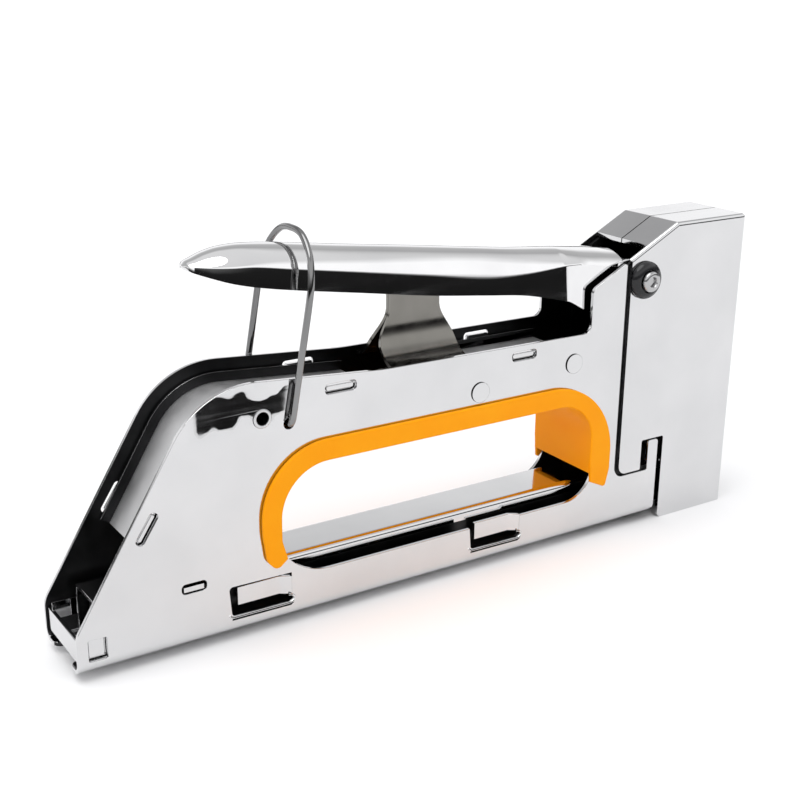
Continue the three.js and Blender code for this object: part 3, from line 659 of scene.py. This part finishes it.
def near_plate():
    holes = [opening_outline(), rectangle(-96.2, -91.8, 5.2, 10.4, 0.35)]
    holes += [slot_outline(s) for s in (*EAR_SLOTS, HOUSING_SLOT)]
    holes += [circle(EYELET, 2.05), circle(BAIL_PIVOT, 1.35)]
    holes += [circle(place, 1.35) for place in RIVETS.values()]
    mesh = plate([shell_outline(), *holes], -SIDE, -INNER, 0.14, 3)
    for start in TAB_STARTS:
        # A shallow groove under each window; its faces take the painted shade as a dark line
        seam = outline(shifted(start, [(-0.4, 5.5), (15.2, 5.35), (16.1, 6.0), (-0.2, 5.95)]))
        window = across_y(tab_window(start), -THROUGH, -5)
        mesh = cut(mesh, window, across_y(seam, -THROUGH, -SIDE + 0.5))
    steps = 10
    heights = [ROLL_TOP - ROLL_LENGTH * k / steps for k in range(steps + 1)]
    mesh = sliced(mesh, [((0, 0, height), (0, 0, 1)) for height in heights])
    for vertex in mesh.vertices:
        vertex.co = Vector(folded(*(vertex.co / MM))) * MM
    mesh.update()
    return mesh


def folded(x, y, z):
    """The flat blank's lower edge rolled inwards under the tool."""
    drop = ROLL_TOP - z
    if drop <= 0:
        return x, y, z
    depth = y + SIDE
    if drop <= ROLL_LENGTH:
        angle = drop / MID_ROLL
        radius = ROLL - depth
        return x, -(SIDE - ROLL) - radius * math.cos(angle), ROLL_TOP - radius * math.sin(angle)
    return x, -(SIDE - ROLL) + (drop - ROLL_LENGTH), BASE_Z + depth


def nose_leaf():
    outer = -INNER + 0.15
    top = NOSE_Z - SHEET - 0.6
    drop = 1.5
    bevel_end = NECK_X + (top + drop - NECK_Z) / BEVEL_SLOPE
    leaf = plate([
        outline([
            (54.5, 5.3, 1), (72.6, 5.3), (72.6, 1.2), (97.35, 1.2), (97.35, top), (bevel_end, top),
            (54.5, bevel_z(54.5) - drop),
        ]),
        circle(LEVER_PIVOT, 2.8),
    ], outer, outer + SHEET, 0.1, 1)
    leaf = cut(leaf, block(64.6, 70, -THROUGH, 0, 17, 27), block(71.6, 74.8, -THROUGH, 0, -1, 26))
    joggle = block(58.5, 70.5, -INNER - 0.1, outer + 0.1, 6, SKIRT_Z - 1)
    return joined(leaf, joggle)


def build_shells():
    tabs = [make(start) for make in (pressed_tab, window_lip) for start in TAB_STARTS]
    near = joined(near_plate(), nose_leaf(), *tabs)
    for side, mesh in (("near", near), ("far", mirrored(near))):
        # Inner faces, the nose leaf and the window seams get painted shade
        place_piece(side + "_side_plate", mesh, SHELL, "body", [side + "_side_shell"],
                    others=[(PAINTED_SHADE, painted_shade_in_shell)])


# ---------------------------------------------------------------- nose cover
def build_cover():
    outer = outline([
        (50, -6), (FRONT, -6), (FRONT, NOSE_Z, 1.1),
        (NECK_X + (NOSE_Z - NECK_Z) / BEVEL_SLOPE, NOSE_Z, 1.2), (50, bevel_z(50)),
    ])
    body = plate([outer], -SIDE, SIDE, 1.1, 6)
    edge = outline([
        (73.3, 0, 1.6), (FRONT + 3, 0), (FRONT + 3, NOSE_Z + 3), (57.2, NOSE_Z + 3),
        (57.2, SKIRT_Z + 0.6, 2.6), (65.2, SKIRT_Z + 0.6, 0.3),
        (65.2, HOOK_Z + 0.5, 0.5), (73.3, HOOK_Z + 0.5, 0.6),
    ])
    body = boolean(body, across_y(edge, -THROUGH, THROUGH), "INTERSECT")
    roof = NOSE_Z - SHEET
    fall = SHEET * math.hypot(1, BEVEL_SLOPE)
    cavity = outline([
        (40, -3), (FRONT - SHEET, -3), (FRONT - SHEET, roof),
        (NECK_X + (roof + fall - NECK_Z) / BEVEL_SLOPE, roof), (40, bevel_z(40) - fall),
    ])
    mesh = cut(
        body,
        across_y(cavity, -INNER, INNER),
        block(40, 62.9, -INNER, INNER, 60, 95),
        block(60, FRONT - SHEET - 0.2, -0.18, 0.18, 75, 90),
        across_y(circle(LEVER_PIVOT, 2.8), -THROUGH, THROUGH),
    )
    mesh = softened(mesh, 0.1, 2, 40)
    # The cover's inner faces get painted shade
    place_piece("nose_cover_skin", mesh, CHROME, "body", ["front_cover"], 28,
                others=[(PAINTED_SHADE, faces_inwards)])


# ---------------------------------------------------------------- finger guard
def build_guard():
    face = GUARD_FACE
    lip = outline([
        (-49.9, 15.8, 1.6), (-52.5, 18.6, 4), (-53.5, 25.5, 20), (-53.5, 46.2, 17.5),
        (52.7, 46.2, 21), (52.7, 20, 6), (51.4, 14.8, 0.8), (46, 17.3, 0.4), (GRIP_FRONT, 24, 5),
        (GRIP_FRONT, GRIP_TOP, 11), (GRIP_REAR, GRIP_TOP, 12.5), (GRIP_REAR, 23, 5), (-47, 18.2, 0.5),
    ], 18)
    near = plate([lip], -face - 1.05, -face, 0.42, 5)
    grip = outline([
        (GRIP_REAR, 0), (GRIP_FRONT, 0), (GRIP_FRONT, GRIP_TOP, 11), (GRIP_REAR, GRIP_TOP, 12.5),
    ], 20)
    liner = cut(
        across_y(opening_outline(0.25, 0.3, 20), -face - 0.5, face + 0.5),
        across_y(grip, -THROUGH, THROUGH),
        block(-60, 0, -THROUGH, THROUGH, 0, 22.5),
        block(0, 60, -THROUGH, THROUGH, 0, 20),
    )
    mesh = joined(liner, near, mirrored(near))
    place_piece("finger_guard_moulding", mesh, ORANGE, "body", ["finger_guard"], 40)


# ---------------------------------------------------------------- channel strips
def ear(slot):
    return plate([slot_outline(slot, 0.6)], STRIP_SIDE - 0.5, SIDE - 0.5, 0.2, 3)


def channel(line, slots):
    """A strip's floor and two walls along a line, with an ear for each slot it reaches into."""
    floor = WEB_DEPTH + STRIP_SHEET
    web = plate([ribbon(line, WEB_DEPTH, floor)], -STRIP_SIDE, STRIP_SIDE, 0.1, 2)
    wall = plate([ribbon(line, FLANGE_DEPTH, floor)], STRIP_SIDE - STRIP_SHEET, STRIP_SIDE, 0.15, 2)
    side = joined(wall, *[ear(s) for s in slots])
    return joined(web, side, mirrored(side))


def build_strips():
    spine = channel(TOP_LINE, EAR_SLOTS[:2])
    # Inner faces of the strip's walls get painted shade; the web gets its own satin finish
    place_piece("spine_channel", spine, CHROME, "body", ["spine_strip"],
                others=[(PAINTED_SHADE, faces_inwards), (STRIP, in_web)])
    leg = plate([
        outline([
            (6.4, 56), (6.4, 47, 1), (30, 45, 3), (38, 45, 2),
            (41.6, 49, 2), (41.6, 54.5), (40.6, 55.5), (40.6, 56),
        ]),
        circle(RIVETS["rear"], 1.3), circle(RIVETS["front"], 1.3), circle((34, 48.8), 1.65),
    ], STRIP_SIDE - STRIP_SHEET, STRIP_SIDE, 0.1, 1)
    bracket = joined(channel(BRACKET_LINE, EAR_SLOTS[2:]), leg, mirrored(leg))
    # Inner faces of the bracket's walls get painted shade; the web gets its own satin finish
    place_piece("rocker_bracket_sheet", bracket, CHROME, "body", ["rocker_bracket"],
                others=[(PAINTED_SHADE, faces_inwards), (STRIP, in_web)])


# ---------------------------------------------------------------- squeeze lever
# Stations along the lever: x, half width, lean of the wall, and heights of crown, shoulder and edge.
LEVER_STATIONS = [
    (-65.6, 0.9, 0.0, 88.6, 88.3, 87.8),
    (-64.8, 2.5, 0.2, 89.3, 88.5, 87.5),
    (-63.2, 3.9, 0.3, 89.9, 88.4, 86.9),
    (-60.3, 5.5, 0.45, 90.95, 88.2, 85.9),
    (-56.5, 6.8, 0.6, 91.75, 88.0, 84.7),
    (-51.0, 7.4, 0.8, 91.95, 87.7, 83.4),
    (-42.0, 7.6, 0.85, 91.15, 86.2, 81.7),
    (-25.0, 7.6, 0.85, 88.9, 83.4, 78.9),
    (-5.0, 7.6, 0.85, 86.4, 80.0, 75.6),
    (12.0, 7.6, 0.85, 84.2, 77.2, 73.4),
    (24.0, 7.6, 1.0, 82.7, 76.8, 71.8),
    (36.8, 7.6, 1.7, 81.5, 77.5, 68.8),
    (38.8, 8.1, 0.5, 81.3, 77.6, 68.1),
    (44.0, 8.5, 0.2, 80.7, 77.4, 65.3),
    (50.0, 8.6, 0.0, 80.0, 76.4, 63.9),
    (57.0, 8.6, 0.0, 79.0, 75.4, 63.6),
]
CROWN_TURN = math.radians(64)


def smooth_rows(rows, per_gap):
    """Rows of numbers with eased rows between them, by Catmull-Rom on uneven spacing in x."""
    def slope(i):
        a, b = rows[max(i - 1, 0)], rows[min(i + 1, len(rows) - 1)]
        return [(q - p) / (b[0] - a[0]) for p, q in zip(a, b)]

    result = []
    for i in range(len(rows) - 1):
        a, b, m, n = rows[i], rows[i + 1], slope(i), slope(i + 1)
        gap = b[0] - a[0]
        for k in range(per_gap):
            t = k / per_gap
            h = (2 * t**3 - 3 * t**2 + 1, t**3 - 2 * t**2 + t, -2 * t**3 + 3 * t**2, t**3 - t**2)
            result.append([
                h[0] * p + h[1] * gap * u + h[2] * q + h[3] * gap * v for p, q, u, v in zip(a, b, m, n)
            ])
    result.append(list(rows[-1]))
    return result


def lever_section(row, steps=30):
    x, half, lean, crown, shoulder, edge = row
    sheet = min(1.2, half * 0.4)
    lift = min(1.2, (crown - edge) * 0.4)
    outside, inside = [(-half - lean, edge)], [(-half - lean + sheet, edge)]
    for k in range(steps + 1):
        angle = CROWN_TURN * (2 * k / steps - 1)
        across = math.sin(angle) / math.sin(CROWN_TURN)
        fall = (1 - math.cos(angle)) / (1 - math.cos(CROWN_TURN))
        height = crown - (crown - shoulder) * fall
        outside.append((half * across, height))
        inside.append(((half - sheet) * across, height - lift * (1 - 0.75 * fall)))
    outside.append((half + lean, edge))
    inside.append((half + lean - sheet, edge))
    return [Vector((x, y, z)) for y, z in outside + inside[::-1]]


def lofted(sections):
    """A closed sheet skinned over sections that run out along one face and back along the other."""
    work = bmesh.new()
    rows = [[work.verts.new(p * MM) for p in section] for section in sections]
    size = len(rows[0])
    for a, b in zip(rows, rows[1:]):
        for k in range(size):
            n = (k + 1) % size
            work.faces.new((a[k], a[n], b[n], b[k]))
    for row in (rows[0], rows[-1]):
        for k in range(size // 2 - 1):
            work.faces.new((row[k], row[k + 1], row[size - 2 - k], row[size - 1 - k]))
    bmesh.ops.recalc_face_normals(work, faces=work.faces)
    return mesh_of(work, "loft")


def build_lever():
    shell = lofted([lever_section(row) for row in smooth_rows(LEVER_STATIONS, 6)])
    x, z = LEVER_PIVOT
    cheek = plate([
        outline([(50, 64.1), (x + 6.5, z - 6.5, 5.9), (x + 6.5, z + 6.5, 5.9), (50, 76.2)], 16),
        circle(LEVER_PIVOT, 2.65),
    ], 7.4, 8.6, 0.1, 1)
    mesh = joined(shell, cheek, mirrored(cheek))
    place_piece("lever_pressing", mesh, LEVER_CHROME, "lever", ["squeeze_lever"], 38)


# ---------------------------------------------------------------- lever link
def link_reach(z):
    """Rear and front edges of the link at a height: a narrow stem that spreads into a broad foot."""
    spread = max(0.0, min(1.0, (71.5 - z) / 9.0))
    ease = spread * spread * (3 - 2 * spread)
    rear, front = -12 - 4 * ease, 2.4 + 3.4 * ease
    foot = max(0.0, min(1.0, (58.5 - z) / 5.3))
    rear += 3.5 * foot
    front -= 3.4 * foot
    head = max(0.0, (z - 79.2) / 3.0)
    corner = 3 * (1 - math.sqrt(max(0.0, 1 - head * head)))
    return rear + corner, front - corner


def build_link():
    half, flare, sheet = STRIP_SIDE - 0.2, 70.0, 1.0
    for_side = []
    outer = [(1.0, LINK_TOP - 0.05 - (LINK_TOP - flare) * k / 10) for k in range(10)]
    across, fall = half - sheet, 10.8
    outer += [
        (half - across * math.cos(t), flare - fall * math.sin(t))
        for t in (math.pi / 2 * k / 22 for k in range(23))
    ]
    outer += [(half, flare - fall - 6 * k / 8) for k in range(1, 9)]
    for index, (y, z) in enumerate(outer):
        a = Vector(outer[max(index - 1, 0)])
        b = Vector(outer[min(index + 1, len(outer) - 1)])
        along = (b - a).normalized()
        inward = Vector((along.y, -along.x)) * (sheet - 0.05)
        inner_y = max(y + inward.x, 0.0)
        for_side.append(((y, z), (inner_y, z + inward.y)))

    def half_mesh(sign):
        rows = []
        for (y, z), (iy, iz) in for_side:
            low, high = link_reach(z)
            out_line = [Vector((low + (high - low) * k / 12, y * sign, z)) for k in range(13)]
            in_line = [Vector((low + (high - low) * k / 12, iy * sign, iz)) for k in range(13)]
            rows.append(out_line + in_line[::-1])
        return cut(lofted(rows), across_y(circle(LINK_PIVOT, LINK_BORE), -THROUGH, THROUGH))

    mesh = softened(joined(half_mesh(1), half_mesh(-1)), 0.12, 2, 50)
    # The link's inner sides and downward faces get painted shade
    place_piece("link_pressing", mesh, LINK, "link", ["lever_link"], 35,
                others=[(PAINTED_SHADE, under_link)])


# ---------------------------------------------------------------- magazine
def inverted_channel(half, top, bottom, sheet, radius):
    inner, roof, inner_radius = half - sheet, top - sheet, radius - sheet
    return outline([
        (-half, bottom), (-half, top, radius), (half, top, radius), (half, bottom),
        (inner, bottom), (inner, roof, inner_radius), (-inner, roof, inner_radius), (-inner, bottom),
    ], 10)


def build_magazine():
    housing = along_x(inverted_channel(6.9, 16.3, 3.3, 0.8, 1.6), -92.4, 94.0)
    housing = sliced(housing, [((0, 0, MAGAZINE_SHADE_TOP), (0, 0, 1))])
    x, length = HOUSING_SLOT[0], HOUSING_SLOT[2]
    half = length / 2 - 0.6
    wing = block(x - half, x + half, 6.4, SIDE - 0.3, 15.7, 17.0)
    root = block(x - half, x + half, 5.5, 6.9, 15.7, 16.25)
    mesh = joined(housing, wing, mirrored(wing), root, mirrored(root))
    mesh = softened(mesh, 0.12, 2, 40)
    # The housing's lower side walls get painted shade
    place_piece("magazine_cover", mesh, CHROME, "body", ["magazine_housing"], 30,
                others=[(PAINTED_SHADE, low_side)])

    wall = block(-98.3, -97.3, -9.6, 9.6, 4.7, 10.2)
    tongue = block(-97.5, -84, -3.5, 3.5, 9, 10.1)
    cheek = joined(
        block(-97.5, -91.4, 9, 9.7, 5.2, 11.3),
        plate([rectangle(-95.8, -92.2, 5.5, 10.0, 0.3)], 9.5, 9.88, 0.12, 3),
    )
    mesh = softened(joined(wall, tongue, cheek, mirrored(cheek)), 0.15, 2, 40)
    place_piece("magazine_end_cap", mesh, CHROME, "magazine", ["magazine_end_plate"], 30)


# ---------------------------------------------------------------- fasteners
def domed(radius, face, height, steps=8):
    """(radius, y) pairs over a low dome, from its rim to its middle."""
    return [
        (radius * math.cos(t), face + height * math.sin(t))
        for t in (math.pi / 2 * k / steps for k in range(steps))
    ] + [(0, face + height)]


def from_axis(face, centre):
    """How far a face's middle lies from a cross axis, in mm."""
    return math.hypot(face.center.x / MM - centre[0], face.center.z / MM - centre[1])


def beyond(centre, radius):
    """A rule for the faces whose middle is farther than a radius from a cross axis."""
    return lambda face: from_axis(face, centre) > radius


def within(centre, radius):
    """A rule for the faces whose middle is nearer than a radius to a cross axis."""
    return lambda face: from_axis(face, centre) < radius


def build_rivets(side, sign):
    face = RIVET_FACE
    profile = [
        (0, 8.2), (2, 8.2), (2, 8.62), (1.2, 8.62), (1.2, face), (2.6, face), (2.66, face + 0.05),
        *domed(2.66, face + 0.24, 0.1),
    ]
    for end, place in RIVETS.items():
        name = f"{side}_{end}_rivet"
        head = turned(place, profile, sign)
        # The head's outer wall gets painted shade, a dark ring round the head
        place_piece(name + "_head", head, CHROME, "body", [name], 45,
                    others=[(PAINTED_SHADE, beyond(place, 2.6))])


def build_washer(side, sign):
    face = WASHER_FACE
    profile = [
        (2.75, face), (5.05, face), (5.1, face + 0.1), (5.1, face + 0.5), (4.98, face + 0.9),
        (4.7, face + 1.3), (4.3, face + 1.66), (3.8, face + 1.93), (3.4, face + 2.05), (3.2, face + 2.1),
        (3.12, face + 2.0), (3.1, face + 1.2), (2.75, face + 1.2),
    ]
    name = f"{side}_pivot_washer"
    dome = turned(LEVER_PIVOT, profile, sign)
    place_piece(name + "_dome", dome, BLACK, "body", [name], 50)


def build_bolt_and_nut():
    head = WASHER_FACE + 1.3
    profile = [
        (0, -14.0), (2.2, -14.0), (2.45, -13.8), (2.5, -13.6), (2.5, head), (2.75, head),
        (2.8, head + 0.1), (2.8, head + 1.3), (2.72, head + 1.6), (2.5, head + 1.88),
        (2.15, head + 2.04), (1.75, head + 2.1), (1.45, head + 2.08), (1.3, head + 1.9),
        (1.1, head + 1.2), (0, head + 1.1),
    ]
    bolt = turned(LEVER_PIVOT, profile, -1)
    place_piece("pivot_bolt_shank", bolt, BOLT, "body", ["pivot_bolt"], 35)
    hexagon = across_y(circle(LEVER_PIVOT, 3.05, 6), head, head + 2.1)
    nut = softened(cut(hexagon, across_y(circle(LEVER_PIVOT, 2.6), 5, THROUGH)), 0.2, 3)
    place_piece("pivot_nut_hexagon", nut, BOLT, "body", ["pivot_nut"], 35)


def build_eyelet():
    curl = [
        (1.9, 0), (2.35, 0), (2.35, 0.06), (2.28, 0.15), (2.1, 0.22), (1.85, 0.23), (1.62, 0.2),
        (1.5, 0.14),
    ]
    near = [(radius, -RIVET_FACE - y) for radius, y in reversed(curl)]
    far = [(radius, RIVET_FACE + y) for radius, y in curl]
    ring = turned(EYELET, near + far)
    # The rim's outer wall and the bore get painted shade
    place_piece("lanyard_eyelet_ring", ring, STEEL, "body", ["lanyard_eyelet"], 50,
                others=[(PAINTED_SHADE, beyond(EYELET, 2.3)), (PAINTED_SHADE, within(EYELET, 1.6))])


def build_fasteners():
    for side, sign in (("near", -1), ("far", 1)):
        build_rivets(side, sign)
        build_washer(side, sign)
    build_bolt_and_nut()
    build_eyelet()


# ---------------------------------------------------------------- wire lock
def eased_path(points, per_gap=8):
    """Catmull-Rom through points, even in its own parameter."""
    result = []
    ends = [points[0] * 2 - points[1], *points, points[-1] * 2 - points[-2]]
    for a, b, c, d in zip(ends, ends[1:], ends[2:], ends[3:]):
        for k in range(per_gap):
            t = k / per_gap
            bend = (a * 2 - b * 5 + c * 4 - d) * t * t + (b * 3 - a - c * 3 + d) * t**3
            result.append((b * 2 + (c - a) * t + bend) / 2)
    result.append(points[-1])
    return result


def build_bail():
    half = BAIL_HALF
    side = [
        (half - 3.3, 0), (half - 1.8, 0.02), (half - 0.6, 0.35), (half - 0.1, 1.3), (half, 3),
        (half, 9), (half, 16), (half, 28), (half - 0.5, 33), (half - 2.1, 37.4), (half - 4.5, 40.4),
        (half - 7.2, BAIL_REACH - 0.9), (half - 9.6, BAIL_REACH - 0.15),
    ]

    def place(y, r):
        x, z = r * math.sin(BAIL_LEAN), r * math.cos(BAIL_LEAN)
        return Vector((BAIL_PIVOT[0] + x, y, BAIL_PIVOT[1] + z))

    near = [place(-y, r) for y, r in side]
    far = [place(y, r) for y, r in reversed(side)]
    mesh = tube(eased_path([*near, place(0, BAIL_REACH), *far]), BAIL_WIRE, 24)
    place_piece("lock_bail_wire", mesh, WIRE, "bail", ["lock_bail"], 60)


# ---------------------------------------------------------------- springs
# Node, piece, body, joint that presses it, direction, fixed end, share of its length left when pressed.
SPRINGS = [
    ("drive_spring", "drive_spring_coil", "body", "plunger_lift", (0, 0, 1), (88.0, 0, 81.9), 0.48),
    ("pusher_spring", "pusher_spring_coil", "magazine", "pusher_slide", (1, 0, 0), (-78.6, 0, 8.0), 0.32),
]


def build_springs():
    for node, name, body, joint, axis, fixed_end, keep in SPRINGS:
        source = frame["nodes"][node]
        mesh = source.data.copy()
        mesh.transform(source.matrix_world)
        slot = NODE_SLOTS[node]
        piece = place_piece(name, mesh, SLOT_LOOKS[slot], body, [node], 60)
        for modifier in list(piece.modifiers):
            piece.modifiers.remove(modifier)
        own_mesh(piece)


# ---------------------------------------------------------------- carried-over nodes
def finish_hidden_nodes():
    """Gives each CAD node the look of its slot, for those that no piece replaces."""
    for name, node in frame["nodes"].items():
        material = SLOT_LOOKS[NODE_SLOTS[name]]
        if not node.material_slots:
            node.data.materials.append(material)
        for spot in node.material_slots:
            spot.material = material


# ---------------------------------------------------------------- studio
FLOOR_HALF = 12
# Brightness of the studio by the sine of the height angle, towards the front and towards the back.
SKY_FRONT = [
    (0.0, 1.0), (0.042, 1.0), (0.052, 0.01), (0.17, 0.015), (0.27, 0.2),
    (0.4, 1.2), (0.66, 1.2), (0.74, 0.8), (1.0, 0.85),
]
SKY_BACK = [
    (0.0, 1.0), (0.042, 1.0), (0.052, 0.08), (0.11, 0.1), (0.155, 1.15),
    (0.35, 1.1), (0.5, 0.55), (0.7, 0.48), (0.8, 0.85), (1.0, 0.85),
]
SKY_BLEND = (-0.15, 0.25)  # the Y of a direction where the front sky ends and where the back sky is full
BACKDROP = (1.0, 1.0, 1.0)
COLOUR_A, COLOUR_B, COLOUR_RESULT = 6, 7, 2  # colour sockets of a Mix node
SUN_ENERGY = 1.45
SUN_SPREAD = math.radians(50)
SUN_DIRECTION = (0.25, 0.1, -0.96)


def build_floor():
    work = bmesh.new()
    bmesh.ops.create_grid(work, x_segments=1, y_segments=1, size=FLOOR_HALF)
    floor = new_object("studio_floor", mesh_of(work, "floor"))
    n = Nodes("pale_floor")
    tone = n.ramp(n.noise(3, 3), [(0.3, (0.88, 0.88, 0.885)), (0.7, (0.92, 0.92, 0.925))])
    n.link(tone, n.shader.inputs["Base Color"])
    n.shader.inputs["Roughness"].default_value = 0.85
    floor.data.materials.append(n.material)


def build_sky():
    """A studio for the metal to reflect, and a plain white backdrop for what the camera sees directly."""
    world = bpy.data.worlds.new("studio")
    bpy.context.scene.world = world
    world.use_nodes = True
    tree = world.node_tree

    def colour_mix():
        node = tree.nodes.new("ShaderNodeMix")
        node.data_type = "RGBA"
        return node

    coords = tree.nodes.new("ShaderNodeTexCoord")
    split = tree.nodes.new("ShaderNodeSeparateXYZ")
    tree.links.new(coords.outputs["Generated"], split.inputs["Vector"])
    side = tree.nodes.new("ShaderNodeMapRange")
    side.inputs["From Min"].default_value, side.inputs["From Max"].default_value = SKY_BLEND
    tree.links.new(split.outputs["Y"], side.inputs["Value"])
    sky = colour_mix()
    tree.links.new(side.outputs["Result"], sky.inputs["Factor"])
    for socket, stops in ((COLOUR_A, SKY_FRONT), (COLOUR_B, SKY_BACK)):
        ramp = filled_ramp(tree, [(place, (value, value, value * 1.01)) for place, value in stops])
        tree.links.new(split.outputs["Z"], ramp.inputs["Fac"])
        tree.links.new(ramp.outputs["Color"], sky.inputs[socket])
    seen = colour_mix()
    seen.inputs[COLOUR_B].default_value = (*BACKDROP, 1)
    ray = tree.nodes.new("ShaderNodeLightPath")
    tree.links.new(ray.outputs["Is Camera Ray"], seen.inputs["Factor"])
    tree.links.new(sky.outputs[COLOUR_RESULT], seen.inputs[COLOUR_A])
    background = tree.nodes["Background"]
    tree.links.new(seen.outputs[COLOUR_RESULT], background.inputs["Color"])
    background.inputs["Strength"].default_value = 1.0


def build_lamp():
    data = bpy.data.lights.new("broad_softbox", "SUN")
    data.energy = SUN_ENERGY
    data.angle = SUN_SPREAD
    lamp = new_object("broad_softbox", data)
    lamp.rotation_mode = "QUATERNION"
    lamp.rotation_quaternion = Vector(SUN_DIRECTION).to_track_quat("-Z", "Y")


# ---------------------------------------------------------------- camera
CAMERA_PLACE = (-0.175065, -0.256, 0.152635)
CAMERA_AZIMUTH = math.radians(-33.08)
CAMERA_ELEVATION = math.radians(19.03)
CAMERA_ROLL = math.radians(0.55)
CAMERA_LENS = 57.96
CAMERA_SENSOR = 36.0


def build_camera():
    back = Vector((
        math.sin(CAMERA_AZIMUTH) * math.cos(CAMERA_ELEVATION),
        -math.cos(CAMERA_AZIMUTH) * math.cos(CAMERA_ELEVATION),
        math.sin(CAMERA_ELEVATION),
    ))
    right = (-back).cross(Vector((0, 0, 1))).normalized()
    up = back.cross(right)
    turned_right = right * math.cos(CAMERA_ROLL) + up * math.sin(CAMERA_ROLL)
    turned_up = up * math.cos(CAMERA_ROLL) - right * math.sin(CAMERA_ROLL)
    turn = Matrix((turned_right, turned_up, back)).transposed().to_4x4()
    data = bpy.data.cameras.new("studio_camera")
    data.lens, data.sensor_width = CAMERA_LENS, CAMERA_SENSOR
    data.clip_start, data.clip_end = 0.01, 50
    camera = new_object("studio_camera", data)
    camera.matrix_world = Matrix.Translation(CAMERA_PLACE) @ turn
    bpy.context.scene.camera = camera


build_camera()
build_floor()
build_sky()
build_lamp()
build_shells()
build_cover()
build_guard()
build_strips()
build_lever()
build_link()
build_magazine()
build_fasteners()
build_bail()
build_springs()
finish_hidden_nodes()
bpy.context.scene.view_settings.view_transform = "Standard"
